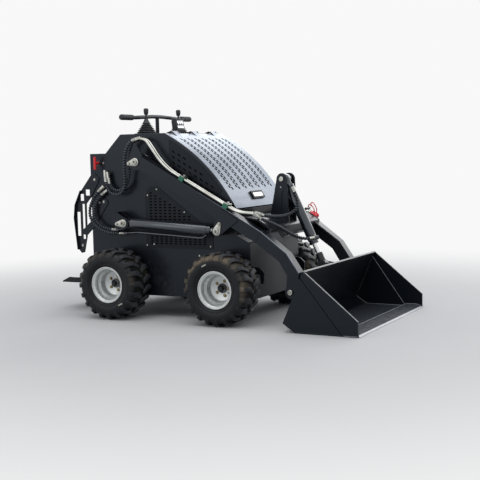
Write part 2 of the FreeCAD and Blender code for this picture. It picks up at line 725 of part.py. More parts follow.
def make_console_parts():
    """Handlebar, control levers in their boots, work lamp, isolator handle and hose ports."""
    x = V["bar_x"]
    z = V["bar_height"]
    roof = V["console_height"]
    radius = V["bar_radius"]
    half = V["bar_half"]
    grip = 125
    bends = [(x, -half, z), (x, 40 - half + grip, z), (x, -60, z + 10), (x, 60, z + 10),
             (x, half - grip - 40, z), (x, half, z)]
    grips = [rod(radius + 5, (x, sign * (half - grip), z), (x, sign * half, z)) for sign in (-1, 1)]
    post = rod(radius, (x, 0, roof), (x, 0, z + 10))
    foot = rod(34, (x, 0, roof), (x, 0, roof + 8))
    feature("handlebar", fuse([bent_rod(radius, bends), post, foot] + grips))
    levers = []
    for sign in (-1, 1):
        y = sign * V["lever_reach"]
        lever = V["lever_x"]
        stick = rod(7, (lever, y, roof + 95), (lever, y, roof + 130))
        knob = rod(21, (lever, y, roof + 130), (lever, y, roof + 172))
        levers.append(fuse([boot(lever, y, roof), stick, knob]))
    feature("control_levers", Part.makeCompound(levers))
    make_work_lamp()
    y = -V["body_half"]
    key_x = -187
    key_z = V["shelf_height"] - 63
    stem = rod(9, (key_x, y, key_z), (key_x, y - 46, key_z))
    bar = rod(9, (key_x, y - 46, key_z - 42), (key_x, y - 46, key_z + 42))
    seat = rod(20, (key_x, y, key_z), (key_x, y - 8, key_z))
    feature("isolator_handle", fuse([stem, bar, seat]))
    ports = []
    for name in SIDE_HOSES:
        route = side_route(name)
        length = NUT_COLUMN if name.startswith("arm") else V["nut_length"]
        corner = beyond(route[0], route[1], length - 10)
        elbow = rod(10, (corner[0], V["body_half"], corner[2]), corner)
        ports.append(fuse([nut(route[0], route[1], length), elbow]))
    feature("hose_ports", both_sides(Part.makeCompound(ports)))


def make_work_lamp():
    """A square lamp on a bracket, leaning back, with its lens proud of the housing's rim."""
    x = V["lamp_x"]
    roof = V["console_height"]
    bracket = box((x - 8, -15, roof), (x + 8, 15, roof + 24))
    yoke = box((x - 10, -52, roof + 16), (x + 10, 52, roof + 22))
    ears = [box((x - 10, y - 3, roof + 16), (x + 10, y + 3, roof + 62)) for y in (-51, 51)]
    housing = box((-20, -47, -38), (14, 47, 38)).cut(box((8, -41, -32), (15, 41, 32)))
    fins = [box((-30, y - 2, -30), (-20, y + 2, 30)) for y in range(-36, 37, 12)]
    lens = []
    for column in range(3):
        for row in range(2):
            lens.append(box((7, 26 * column - 38, 30 * row - 28), (12, 26 * column - 14, 30 * row - 2)))
    lamp = fuse([housing] + fins + lens)
    lamp.Placement = Placement(Vector(x, 0, roof + 62), Rotation(Vector(0, 1, 0), -7))
    feature("work_lamp", fuse([bracket, yoke, lamp] + ears))


def flag(x, z, angle, low, high):
    """A pear-shaped retainer plate on a pin's end, bolted at its slim end."""
    a = math.radians(angle)
    length = 50
    wide = 26
    slim = 12
    tip = (x + length * math.cos(a), z + length * math.sin(a))
    n = (-math.sin(a), math.cos(a))
    points = [(x + n[0] * wide, z + n[1] * wide), (tip[0] + n[0] * slim, tip[1] + n[1] * slim),
              (tip[0] - n[0] * slim, tip[1] - n[1] * slim), (x - n[0] * wide, z - n[1] * wide)]
    return fuse([plate(points, low, high), pin(wide, x, z, low, high), pin(slim, *tip, low, high)])


def retained_pin(radius, x, z, angle, low, face):
    """A pin with a grease hole in its end, and its retainer on the face that the end stands on."""
    thick = 6
    shaft = fuse([pin(radius, x, z, low, face + thick + 4), flag(x, z, angle, face, face + thick)])
    return shaft.cut(pin(6, x, z, face, face + thick + 5))


def make_pivots():
    """Arm pivot pins on bosses, and the brackets and pins of the lift cylinders."""
    x = V["pivot_x"]
    z = V["pivot_z"]
    half = V["body_half"]
    boss = pin(V["pivot_eye"], x, z, half, V["arm_inner"] - V["open_gap"])
    pivot = fuse([boss, retained_pin(V["pivot_pin"], x, z, 190, half, V["arm_outer"] + V["open_gap"])])
    x = V["lift_base_x"]
    z = V["lift_base_z"]
    ear_plate = V["ear_plate"] - 2
    near = V["arm_middle"] - V["eye_width"] / 2 - V["open_gap"]
    far = V["arm_middle"] + V["eye_width"] / 2 + V["open_gap"]
    outline = shifted(LIFT_EAR, x, z)
    round_end = 38
    ears = []
    for low in (near - ear_plate, far):
        ears += [plate(outline, low, low + ear_plate), pin(round_end, x, z, low, low + ear_plate)]
    back = [(-62, -30), (-84, 20), (-64, 73), (-54, 72), (-72, 20), (-52, -30)]
    web = plate(shifted(back, x, z), half, far + ear_plate)
    held = retained_pin(V["cylinder_pin"], x, z, 185, near - ear_plate, far + ear_plate)
    bracket = fuse(ears + [web, held])
    feature("arm_pivot_pins", both_sides(pivot))
    feature("lift_brackets", both_sides(bracket))


# Loader arms

def arm_line():
    """The middle of an arm from its pivot to its foot."""
    return [(V["pivot_x"], V["pivot_z"] + V["beam_lift"]), (1042, 550), (1208, 428), (1272, 330),
            (V["foot_x"], V["foot_z"])]


def arm_beam():
    """The bent box beam of the left arm."""
    half = V["arm_depth"] / 2
    foot_half = V["arm_foot_depth"] / 2
    outline = band(arm_line(), [half, half - 1, foot_half - 2, foot_half, foot_half])
    return plate(outline, V["arm_inner"], V["arm_outer"])


def make_arms():
    """Both box beams with their eyes, fins and gussets, and the hollow cross member between them."""
    inner = V["arm_inner"]
    outer = V["arm_outer"]
    pivot = (V["pivot_x"], V["pivot_z"])
    foot = (V["foot_x"], V["foot_z"])
    eyes = [pin(V["pivot_eye"], *pivot, inner, outer), pin(V["foot_eye"], *foot, inner, outer)]
    fin = [(-52, 24), (-10, 122), (4, 122), (56, 36)]
    plates = [plate(shifted(fin, *pivot), outer - V["gusset_plate"], outer)]
    outline = shifted(GUSSET, V["lift_eye_x"], V["lift_eye_z"])
    side = V["gusset_plate"]
    plates += [plate(outline, outer, outer + side), plate(outline, inner - side, inner)]
    plates.append(retained_pin(V["cylinder_pin"], V["lift_eye_x"], V["lift_eye_z"], 66,
                               V["arm_middle"] + V["eye_width"] / 2 + V["open_gap"], outer + side))
    arm = fuse([arm_beam()] + eyes + plates)
    arm = arm.cut(pin(V["pivot_pin"] + V["fit_gap"], *pivot, inner - 20, outer + 20))
    arm = arm.cut(pin(V["foot_pin"] + V["fit_gap"], *foot, inner - 20, outer + 20))
    cross = plate(CROSS, -inner, inner)
    shell = Part.Face(Part.makePolygon([Vector(x, -inner, z) for x, z in CROSS + CROSS[:1]]))
    core = shell.makeOffset2D(-V["cross_wall"]).extrude(Vector(0, 2 * inner, 0))
    brace = corner_brace()
    feature("loader_arms", fuse([arm, mirrored(arm), cross.cut(core), brace, mirrored(brace)]))


def corner_brace():
    """The three-cornered plate between the left arm's bend and the front of the cross member."""
    upper = beside(arm_line(), [V["arm_depth"] / 2 - 1] * 5)
    inner = V["arm_inner"]
    front = upper[2]
    corners = [Vector(upper[1][0], inner, upper[1][1]),
               Vector(CROSS[2][0] - 2, inner - 84, CROSS[2][1] - 4),
               Vector(front[0] - 16, inner, front[1] + 8)]
    normal = (corners[1] - corners[0]).cross(corners[2] - corners[0]).normalize()
    if normal.z > 0:
        normal = -normal
    return Part.Face(Part.makePolygon(corners + corners[:1])).extrude(normal * V["gusset_plate"])


def height_on_cross(x):
    for a, b in zip(CROSS, CROSS[1:]):
        if a[0] <= x <= b[0]:
            return a[1] + (b[1] - a[1]) * (x - a[0]) / (b[0] - a[0])
    return CROSS[0][1]


def make_tower():
    """Two ears on the cross member that hold the tilt cylinder's upper pin, with a rib on each."""
    x = V["tower_x"]
    z = V["tower_z"]
    r = V["tower_round"]
    rear = x - 84
    front = x + 46
    outline = [(rear, height_on_cross(rear)), CROSS[1], (front, height_on_cross(front)), (x + r, z),
               (x - r, z)]
    half = V["tower_half"]
    inner = half - V["ear_plate"]
    rib = [(x - 26, height_on_cross(x - 26)), (x - 16, height_on_cross(x - 16)), (x + 6, z - 70),
           (x - 4, z - 70)]
    parts = []
    for low, high, outside in ((inner, half, (half, half + 8)), (-half, -inner, (-half - 8, -half))):
        parts += [plate(outline, low, high), pin(r, x, z, low, high), plate(rib, *outside)]
    parts.append(pin(V["cylinder_pin"], x, z, -half - 8, half + 8))
    feature("tilt_tower", fuse(parts))


def on_arm(run, along, off):
    """A point beside one of the arm's straight runs: along it from its start, and off its upper side."""
    line = arm_line()
    d = unit(line[run], line[run + 1])
    return (line[run][0] + d[0] * along - d[1] * off, line[run][1] + d[1] * along + d[0] * off)


def coupler_point(side, along):
    """A point on the axis of an auxiliary coupler above the left arm; side is -1 or 1."""
    x, z = on_arm(0, along, V["arm_depth"] / 2 + V["coupler_rise"])
    return (x, V["arm_middle"] + 4 + side * V["coupler_pitch"] / 2, z)


def make_arm_pipes():
    """Steel pipes along the arms' tops: to the tilt hoses on the right, the couplers on the left."""
    y = V["arm_middle"]
    top = V["arm_depth"] / 2
    rise = top + V["pipe_rise"]
    length = V["nut_length"]
    pipes = []
    for side, rear, front in ((-1, "arm_hose_inner", "tilt_hose_upper"),
                              (1, "arm_hose_outer", "tilt_hose_lower")):
        rear_hose = side_route(rear)
        front_hose = tilt_route(front)
        out = y + side * V["pipe_pitch"] / 2
        start = beyond(rear_hose[-1], rear_hose[-2], length - 6)
        end = beyond(front_hose[0], front_hose[1], length - 6)
        near = on_arm(0, 195, rise)
        far = on_arm(0, 792, rise)
        route = [start, (238, out, 1158), (near[0], out, near[1]), (far[0], out, far[1])]
        first = nut(rear_hose[-1], rear_hose[-2], length)
        last = nut(front_hose[0], front_hose[1], length)
        right = tube(route + [(end[0], -end[1], end[2])], V["pipe_radius"])[0]
        coupler = [coupler_point(side, V["coupler_start"] + shift) for shift in (-22, 8)]
        left = tube(route + coupler, V["pipe_radius"])[0]
        pipes += [fuse([mirrored(right), mirrored(first), last]), fuse([left, first])]
    clamps = []
    length = V["clamp_length"]
    for along in (335, 690):
        outline = [on_arm(0, along, top), on_arm(0, along + length, top),
                   on_arm(0, along + length, rise + 12), on_arm(0, along, rise + 12)]
        clamp = plate(outline, y - 30, y + 30)
        for side in (-0.5, 0.5):
            a = on_arm(0, along - 2, rise)
            b = on_arm(0, along + length + 2, rise)
            out = y + side * V["pipe_pitch"]
            clamp = clamp.cut(rod(V["pipe_radius"], (a[0], out, a[1]), (b[0], out, b[1])))
        clamps.append(clamp)
    feature("arm_pipes", Part.makeCompound(pipes))
    feature("pipe_clamps", both_sides(Part.makeCompound(clamps)))


def make_couplers():
    """The auxiliary couplers on the left arm, each on its pipe, in a bracket, with their dust caps."""
    top = V["arm_depth"] / 2
    base = V["coupler_start"] + 16
    thick = 10
    outline = [on_arm(0, base, top - 1), on_arm(0, base + thick, top - 1),
               on_arm(0, base + thick, top + 46), on_arm(0, base, top + 46)]
    bracket = plate(outline, V["arm_inner"] + 2, V["arm_outer"] + 8)
    bodies = []
    caps = []
    for side in (-1, 1):
        rear, middle, front = [coupler_point(side, V["coupler_start"] + shift) for shift in (0, 62, 92)]
        body = rod(14, rear, middle)
        bracket = bracket.cut(body)
        bore = rod(V["pipe_radius"], rear, coupler_point(side, V["coupler_start"] + 8))
        bodies.append(body.cut(bore))
        caps.append(rod(17, middle, front))
    feature("coupler_bracket", bracket.cut(arm_beam()))
    feature("aux_couplers", Part.makeCompound(bodies))
    feature("coupler_caps", Part.makeCompound(caps))


# Cylinders

def cylinder(start, end, width, radii, barrel_end, sleeve, y):
    """Barrel and rod between two pins; radii are barrel, rod and eye, sleeve the rod's thick end."""
    barrel_radius, rod_radius, eye_radius = radii
    d = unit(start, end)
    length = math.dist(start, end)

    def at(distance):
        return (start[0] + d[0] * distance, y, start[1] + d[1] * distance)

    low = y - width / 2
    high = y + width / 2
    cap = eye_radius + 18
    gland = 26
    barrel = fuse([rod(barrel_radius, at(cap), at(barrel_end - gland)), pin(eye_radius, *start, low, high),
                   rod(barrel_radius - 3, at(barrel_end - gland), at(barrel_end)),
                   rod(width / 2 - 1, at(eye_radius * 0.6), at(cap + 2))])
    barrel = barrel.cut(pin(V["cylinder_pin"] + V["fit_gap"], *start, low - 1, high + 1))
    barrel = barrel.cut(rod(rod_radius + V["fit_gap"], at(cap + 16), at(length)))
    fork = length - eye_radius * 0.6
    stem = fuse([rod(rod_radius, at(cap + 150), at(fork)), rod(rod_radius + 7, at(fork - sleeve), at(fork)),
                 pin(eye_radius, *end, low, high)])
    return barrel, stem


def make_cylinders():
    """Two lift cylinders in line with the arms, and the tilt cylinder on the centre line."""
    y = V["arm_middle"]
    start = (V["lift_base_x"], V["lift_base_z"])
    end = (V["lift_eye_x"], V["lift_eye_z"])
    radii = (V["lift_barrel"], V["lift_rod"], V["cylinder_eye"])
    barrel, stem = cylinder(start, end, V["eye_width"], radii, V["lift_barrel_end"], 30, y)
    upper = side_route("lift_hose_inner")
    lower = side_route("lift_hose_outer")
    length = V["nut_length"]
    under = start[1] - 66
    front = start[0] + V["lift_barrel_end"] - 30
    pipe = tube([beyond(lower[-1], lower[-2], length - 6), (start[0] + 84, y, under + 6),
                 (front - 40, y, under - 22), (front, y, under + 2)], V["pipe_radius"] - 1)[0]
    feeds = [rod(8, beyond(upper[-1], upper[-2], length - 6), (start[0] + 60, y, start[1] - 20)), pipe]
    bore = rod(V["lift_rod"] + V["fit_gap"], (start[0], y, start[1]), (end[0], y, end[1]))
    eye_bore = pin(V["cylinder_pin"] + V["fit_gap"], *start, y - 40, y + 40)
    feeds = [feed.cut(bore).cut(eye_bore) for feed in feeds]
    barrel = fuse([barrel] + feeds + [nut(route[-1], route[-2], length) for route in (upper, lower)])
    for side, change in (("left", lambda shape: shape), ("right", mirrored)):
        feature(f"lift_barrel_{side}", change(barrel))
        feature(f"lift_rod_{side}", change(stem))
    start = (V["tower_x"], V["tower_z"])
    end = (V["tilt_eye_x"], V["tilt_eye_z"])
    radii = (V["tilt_barrel"], V["tilt_rod"], V["cylinder_eye"])
    barrel, stem = cylinder(start, end, V["tilt_eye_width"], radii, V["tilt_barrel_end"], 62, 0)
    d = unit(start, end)
    bore = rod(V["tilt_rod"] + V["fit_gap"], (start[0], 0, start[1]), (end[0], 0, end[1]))
    ports = []
    for name, along in (("tilt_hose_upper", 70), ("tilt_hose_lower", V["tilt_barrel_end"] - 60)):
        route = tilt_route(name)
        corner = beyond(route[-1], route[-2], length - 6)
        axis = (start[0] + d[0] * along, 0, start[1] + d[1] * along)
        ports.append(fuse([nut(route[-1], route[-2], length), rod(10, corner, axis)]).cut(bore))
    feature("tilt_barrel", fuse([barrel] + ports))
    feature("tilt_rod", stem)


# Bucket and quick-attach plate

def behind_wall(distance, off=0):
    """A point behind the bucket's rear face, counted down from its upper edge."""
    top = (V["bucket_top_x"], V["bucket_top_z"])
    d = unit(top, (V["bucket_heel_x"], V["bucket_heel_z"]))
    return (top[0] + d[0] * distance + d[1] * off, top[1] + d[1] * distance - d[0] * off)


def make_bucket():
    """Folded bucket: sloped back, heel and floor between two side plates, with its edges."""
    half = V["bucket_half"]
    skin = V["bucket_plate"]
    wear = V["wear_plate"]
    top = (V["bucket_top_x"], V["bucket_top_z"])
    heel = (V["bucket_heel_x"], V["bucket_heel_z"])
    sole = (V["bucket_sole_x"], 0)
    reach = V["front_reach"]
    lip = (reach - 60, 0)
    back = [top, heel, sole, lip]
    shell = plate(back + beside(back, [skin] * 4)[::-1], wear - half, half - wear)
    front = -V["edge_bar"]
    bar = plate([behind_wall(0), behind_wall(24), behind_wall(24, front), behind_wall(0, front)],
                wear - half, half - wear)
    tip = (reach - 6, V["bucket_tip_z"])
    side = [top, heel, sole, (reach - 6, 0), tip]
    strip = [top, (top[0] - 18, top[1] - 41), (reach - 104, 8), (reach - 100, 0), (reach - 6, 0), tip]
    sides = []
    for sign in (-1, 1):
        for outline, inside, outside in ((side, half - wear - skin, half - wear), (strip, half - wear, half)):
            sides.append(plate(outline, *sorted((sign * inside, sign * outside))))
    feature("bucket_shell", fuse([shell, bar] + sides))
    front = S["front_reach"]
    floor = S["bucket_plate"]
    edge = [(front - 120, floor), (front - 60, floor), (front - 60, 0), (front, 0), (front, 4),
            (front - 40, 20), (front - 120, 20)]
    padded("cutting_edge", edge, 2 * (S["bucket_half"] - S["wear_plate"] - S["bucket_plate"]))


def make_attach():
    """The quick-attach plate on the bucket's back, with ears for the arms and the tilt rod."""
    half = V["attach_half"]
    thick = V["attach_plate"]
    outline = [behind_wall(30), behind_wall(300), behind_wall(300, thick), behind_wall(30, thick)]
    plates = [plate(outline, -half, half)]
    foot = (V["foot_x"], V["foot_z"])
    r = V["foot_eye"] - 6
    ear_plate = V["ear_plate"]
    ear = [behind_wall(40, thick), behind_wall(280, thick), (foot[0] + 10, foot[1] - r),
           (foot[0] - r, foot[1]),
           (foot[0] - 10, foot[1] + r)]
    inner = V["arm_inner"] - V["open_gap"]
    outer = V["arm_outer"] + V["open_gap"]
    for low, high in ((inner - ear_plate, inner), (outer, outer + ear_plate)):
        plates.append(plate(ear, low, high))
        plates.append(plate(ear, -high, -low))
    gap = V["tilt_eye_width"] / 2 + V["open_gap"]
    eye = (V["tilt_eye_x"], V["tilt_eye_z"])
    horn = [behind_wall(30, thick), behind_wall(190, thick), (eye[0] - 26, eye[1] - 26),
            (eye[0] - 26, eye[1] + 24)]
    for sign in (-1, 1):
        plates.append(rod(V["foot_pin"], (foot[0], sign * (inner - ear_plate - 6), foot[1]),
                          (foot[0], sign * (outer + ear_plate + 8), foot[1])))
        plates.append(plate(horn, *sorted((sign * gap, sign * (gap + ear_plate)))))
        plates += lock(sign)
    feature("quick_attach", fuse(plates))


def lock(sign):
    """One wedge lock of the quick-attach plate: its round housing, and the lever that turns it."""
    y = sign * 260
    housing_x, housing_z = behind_wall(96, V["attach_plate"] + 14)
    near = behind_wall(96, 4)
    disc = rod(40, (housing_x, y, housing_z), (near[0], y, near[1]))
    crank = [behind_wall(*place) for place in ((136, 9), (104, 22), (46, 38), (24, 24))]
    lever = bent_rod(7, [(x, y - sign * 70, z) for x, z in crank])
    return [disc, lever]


# Hood and platform

def make_hood():
    """The curved hood as one bent sheet with its files of slots, its hinges, and its paddle latch."""
    top = hood_arc()[2]
    half = V["hood_half"]
    gauge = V["hood_gauge"]
    length = hood_length()
    outer = hood_edge(8, length, 0, -half)
    inner = hood_edge(length, 8, gauge, -half)
    ends = [Part.LineSegment(outer.Vertexes[-1].Point, inner.Vertexes[0].Point).toShape(),
            Part.LineSegment(inner.Vertexes[-1].Point, outer.Vertexes[0].Point).toShape()]
    bent = Part.Face(Part.Wire([outer, ends[0], inner, ends[1]])).extrude(Vector(0, 2 * half, 0))
    axis = (top[0], top[1] + V["hinge_rise"])
    r = V["hinge_rise"] - 1
    leaf = [(axis[0], axis[1] + r), (axis[0], axis[1] - 2), on_hood(10, 0)[0], on_hood(46, 0)[0]]
    base = [(axis[0], axis[1] + r), (axis[0] - 30, top[1] + 3), (axis[0] - 30, top[1]), (axis[0] - 2, top[1])]
    knuckle = V["knuckle_half"]
    side = 20
    hood = [bent]
    hinges = []
    for y in (-V["hinge_reach"], 0, V["hinge_reach"]):
        hood += [plate(leaf, y - knuckle, y + knuckle), pin(r, *axis, y - knuckle, y + knuckle)]
        leaves = [pin(V["hinge_wire"], *axis, y - knuckle - side, y + knuckle + side)]
        for low in (y - knuckle - V["seat_gap"] - side, y + knuckle + V["seat_gap"]):
            leaves += [plate(base, low, low + side), pin(r, *axis, low, low + side)]
        hinges.append(fuse(leaves))
    cover = fuse(hood).cut(pin(V["hinge_wire"] + V["fit_gap"], *axis, -half, half))
    feature("hood_cover", cover.cut(hood_slots()))
    feature("hood_hinges", Part.makeCompound(hinges))
    off = 2 * V["seat_gap"]
    paddle = [on_hood(length - 106, -off)[0], on_hood(length - 52, -off)[0],
              on_hood(length - 52, -off - 12)[0], on_hood(length - 106, -off - 12)[0]]
    feature("hood_latch", plate(paddle, -80, 80))


def hood_slots():
    """The hood's air slots: double files side by side, one file half a pitch below the other."""
    places = []
    columns = int(V["slot_columns"])
    for column in range(columns):
        y = (column - (columns - 1) / 2) * V["column_pitch"]
        for row in range(int(V["slot_rows"])):
            for side in (-0.5, 0.5):
                along = V["slot_start"] + (row + side / 2) * V["slot_pitch"]
                (x, z), slope = on_hood(along, V["hood_gauge"] / 2)
                places.append((x, y + side * V["file_pitch"], z, slope))
    return slots(places, V["slot_length"], V["slot_width"], 4 * V["hood_gauge"])


def make_platform():
    """The stand-on platform: a deck with a cheek plate at each side, hinged at the chassis."""
    rear = -V["rear_reach"]
    front = -V["platform_hinge"]
    low = V["platform_height"]
    half = V["platform_half"]
    gauge = V["platform_gauge"]
    bore = V["hinge_pin"] + V["fit_gap"]
    knuckle = 12
    axis_z = low + knuckle
    edge = front - knuckle - 4
    deck = plate([(rear, low), (edge, low), (edge, low + gauge), (rear, low + gauge)], -half, half)
    cheek = shifted(CHEEK, rear, low)
    cheeks = [plate(cheek, half - gauge, half), plate(cheek, -half, gauge - half)]
    board = fuse([deck] + cheeks).cut(pin(bore, front, axis_z, -half - 1, half + 1))
    feature("operator_platform", board)
    wall = -V["body_rear"]
    lugs = []
    for sign in (-1, 1):
        gap = half + V["open_gap"]
        lug = [(wall, axis_z - 30), (wall, axis_z + 30), (front - 4, axis_z + 12), (front - 12, axis_z),
               (front - 4, axis_z - 12)]
        ear = plate(lug, *sorted((sign * gap, sign * (gap + 8))))
        reach = sorted((sign * (half - 14), sign * (gap + 12)))
        lugs.append(fuse([ear, pin(V["hinge_pin"], front, axis_z, *reach)]))
    feature("platform_bracket", Part.makeCompound(lugs))


# Hoses

def make_hoses():
    """Plain tubes for the pressure hoses; prints what each one measures."""
    radius = V["hose_radius"]
    routes = {name: side_route(name) for name in SIDE_HOSES} | {name: tilt_route(name) for name in TILT_HOSES}
    for name, route in routes.items():
        hose, length, bend = tube(route, radius)
        share = hose.Volume / (math.pi * radius ** 2 * length)
        print(f"{name}: {length:.0f} mm long, tightest bend {bend:.0f} mm, volume share {share:.4f}")
        if name in SIDE_HOSES:
            feature(f"{name}_left", hose)
            feature(f"{name}_right", mirrored(hose))
        else:
            feature(name, hose)


make_wheels()
make_wheel_motors()
make_chassis()
make_engine()
make_side_covers()
make_side_screens()
make_leg_guards()
make_console_parts()
make_pivots()
make_arms()
make_tower()
make_arm_pipes()
make_couplers()
make_cylinders()
make_bucket()
make_attach()
make_hood()
make_platform()
make_hoses()
doc.recompute()

os.makedirs("parts", exist_ok=True)
for item in doc.Objects:
    if "Invalid" in item.State or "Error" in item.State:
        raise RuntimeError(f"{item.Label} failed: {item.State}")
for piece in pieces:
    if piece.Shape.isNull() or not piece.Shape.isValid():
        raise RuntimeError(f"{piece.Label} has no valid solid")
for piece in pieces:
    piece.Shape.exportStep(f"parts/{piece.Label}.step")
print(len(pieces), "pieces written")
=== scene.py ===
import json
import math
import random

import bmesh
import bpy
from mathutils import Matrix, Vector


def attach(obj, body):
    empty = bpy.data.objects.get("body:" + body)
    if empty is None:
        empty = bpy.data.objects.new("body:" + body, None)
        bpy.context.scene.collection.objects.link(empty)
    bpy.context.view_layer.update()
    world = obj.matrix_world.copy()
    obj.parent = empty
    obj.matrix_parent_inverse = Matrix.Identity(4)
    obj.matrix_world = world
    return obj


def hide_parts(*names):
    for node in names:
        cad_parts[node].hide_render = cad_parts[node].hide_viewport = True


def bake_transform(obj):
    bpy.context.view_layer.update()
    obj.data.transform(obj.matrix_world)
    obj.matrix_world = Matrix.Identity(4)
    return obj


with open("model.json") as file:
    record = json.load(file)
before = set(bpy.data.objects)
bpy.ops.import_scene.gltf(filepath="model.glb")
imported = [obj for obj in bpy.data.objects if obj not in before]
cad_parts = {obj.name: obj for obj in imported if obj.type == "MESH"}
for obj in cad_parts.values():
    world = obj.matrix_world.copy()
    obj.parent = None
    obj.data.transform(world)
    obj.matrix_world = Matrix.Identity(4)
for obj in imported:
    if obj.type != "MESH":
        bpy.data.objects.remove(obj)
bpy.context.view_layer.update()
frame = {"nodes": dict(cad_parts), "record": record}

scene = bpy.context.scene

# Camera: a long lens held at chest height, ahead of the right front wheel. It looks back along the
# machine's right side, a little down, and is turned slightly in the hand.
lens = bpy.data.cameras.new("camera")
lens.sensor_width = 36
lens.lens = 74.86
camera = bpy.data.objects.new("camera", lens)
scene.collection.objects.link(camera)
camera_turns = (("Z", 28.08), ("X", 90 - 5.11), ("Z", -1.35))
camera_place = Matrix.Translation((3.206, -5.834, 1.075))
for turn_axis, degrees in camera_turns:
    camera_place = camera_place @ Matrix.Rotation(math.radians(degrees), 4, turn_axis)
camera.matrix_world = camera_place
scene.camera = camera


# Studio: a pale seamless floor that fades into a white sky, with a wide soft lamp overhead, one
# behind the machine that draws light along its top edges, and a weak one beside the camera.
class Signal:
    """An output of a finish's nodes. Sums with it add the nodes that work them out."""

    def __init__(self, finish, socket):
        self.finish = finish
        self.socket = socket

    def maths(self, operation, *values):
        return self.finish.node("ShaderNodeMath", {"operation": operation}, enumerate(values))

    def __abs__(self):
        return self.maths("ABSOLUTE", self)

    def __add__(self, other):
        return self.maths("ADD", self, other)

    def __radd__(self, other):
        return self.maths("ADD", other, self)

    def __sub__(self, other):
        return self.maths("SUBTRACT", self, other)

    def __rsub__(self, other):
        return self.maths("SUBTRACT", other, self)

    def __mul__(self, other):
        return self.maths("MULTIPLY", self, other)

    def __rmul__(self, other):
        return self.maths("MULTIPLY", other, self)

    def __truediv__(self, other):
        return self.maths("DIVIDE", self, other)

    def __pow__(self, other):
        return self.maths("POWER", self, other)

    def rise(self, low, high):
        """From 0 at low to 1 at high, smoothly; falling where low is above high."""
        return self.finish.node("ShaderNodeMapRange", {"interpolation_type": "SMOOTHSTEP"},
                                {"Value": self, "From Min": low, "From Max": high})


class Finish:
    """A material whose nodes are added as they are written."""

    def __init__(self, name, tree=None, **sockets):
        if tree is None:
            self.material = bpy.data.materials.new(name)
            self.material.use_nodes = True
            tree = self.material.node_tree
            self.shader = tree.nodes["Principled BSDF"]
        self.tree = tree
        self.wear(**sockets)

    def node(self, kind, settings=(), sockets=(), output=0):
        """Adds a node: its settings first, then a value or a link for each socket."""
        made = self.tree.nodes.new(kind)
        for name, value in dict(settings).items():
            setattr(made, name, value)
        for name, value in dict(sockets).items():
            self.fill(made.inputs[name], value)
        return Signal(self, made.outputs[output])

    def fill(self, socket, value):
        if isinstance(value, Signal):
            self.tree.links.new(value.socket, socket)
        elif hasattr(value, "__len__") and len(socket.default_value) > len(value):
            socket.default_value = (*value, 1)
        else:
            socket.default_value = value

    def wear(self, **sockets):
        """Sets the shader's own sockets, named with an underscore for a space."""
        for name, value in sockets.items():
            self.fill(self.shader.inputs[name.replace("_", " ")], value)

    def noise(self, scale, detail=3.0, stretch=(1, 1, 1), roughness=0.5):
        place = self.node("ShaderNodeTexCoord", output=3)
        mapped = self.node("ShaderNodeMapping", {}, {"Vector": place, "Scale": stretch})
        return self.node("ShaderNodeTexNoise", {}, {"Vector": mapped, "Scale": scale, "Detail": detail,
                                                    "Roughness": roughness})

    def along(self, axis):
        """Where a point lies along one axis of the machine, in metres."""
        place = self.node("ShaderNodeTexCoord", output=3)
        return self.node("ShaderNodeSeparateXYZ", {}, {0: place}, output="XYZ".index(axis))

    def mix(self, mask, first, second):
        return self.node("ShaderNodeMix", {"data_type": "RGBA"}, {0: mask, 6: first, 7: second}, output=2)

    def bump(self, height, distance, strength=1.0):
        self.wear(Normal=self.node("ShaderNodeBump", {}, {"Height": height, "Distance": distance,
                                                          "Strength": strength}))

    def background_rays(self):
        """1 where a ray should see the white background: from the camera, off metal and through glass."""
        rays = self.node("ShaderNodeLightPath").socket.node.outputs
        shown = Signal(self, rays["Is Camera Ray"])
        for name in ("Is Glossy Ray", "Is Transmission Ray"):
            shown = shown.maths("MAXIMUM", shown, Signal(self, rays[name]))
        return shown


def deselect():
    for thing in bpy.context.selected_objects:
        thing.select_set(False)


def lamp(name, size, place, aim, power):
    deselect()
    bpy.ops.object.light_add(type="AREA", location=place)
    made = bpy.context.object
    made.name = name
    made.data.shape = "RECTANGLE"
    made.data.size, made.data.size_y = size
    made.data.energy = power
    made.rotation_euler = (Vector(aim) - Vector(place)).to_track_quat("-Z", "Y").to_euler()
    made.visible_camera = False


lamp("lamp_overhead", (5.0, 4.0), (0.3, -0.6, 4.2), (0, 0, 0.4), 110)
lamp("lamp_behind", (7.0, 2.6), (0.4, 5.4, 2.8), (0, 0, 0.7), 105)
lamp("lamp_camera_side", (3.0, 3.0), (-2.6, -5.0, 2.6), (0, 0, 0.6), 30)

white = (0.94, 0.94, 0.94)
world = bpy.data.worlds.new("white_sky")
world.use_nodes = True
scene.world = world
sky = Finish("white_sky", world.node_tree)
background = world.node_tree.nodes["Background"]
seen = sky.background_rays()
sky.fill(background.inputs["Color"], sky.mix(seen, (0.78, 0.82, 0.88), white))
sky.fill(background.inputs["Strength"], 0.7 + 0.3 * seen)

scene.view_settings.view_transform = "Standard"

deselect()
bpy.ops.mesh.primitive_plane_add(size=60, location=(0, 0, 0))
floor = bpy.context.object
floor.name = "studio_floor"
paper = Finish("floor_paper", Roughness=0.9)
paper.wear(Base_Color=paper.mix(paper.noise(1.5), (0.50, 0.50, 0.50), (0.54, 0.54, 0.54)))
distance = (paper.along("X") ** 2.0 + paper.along("Y") ** 2.0) ** 0.5
glow = paper.node("ShaderNodeEmission", {}, {"Color": white, "Strength": 1.0})
blended = paper.node("ShaderNodeMixShader", {}, {0: distance.rise(1.3, 4.6) * paper.background_rays()})
blend_node = blended.socket.node
paper.tree.links.new(paper.shader.outputs[0], blend_node.inputs[1])
paper.tree.links.new(glow.socket, blend_node.inputs[2])
paper.tree.links.new(blended.socket, paper.tree.nodes["Material Output"].inputs["Surface"])
floor.data.materials.append(paper.material)


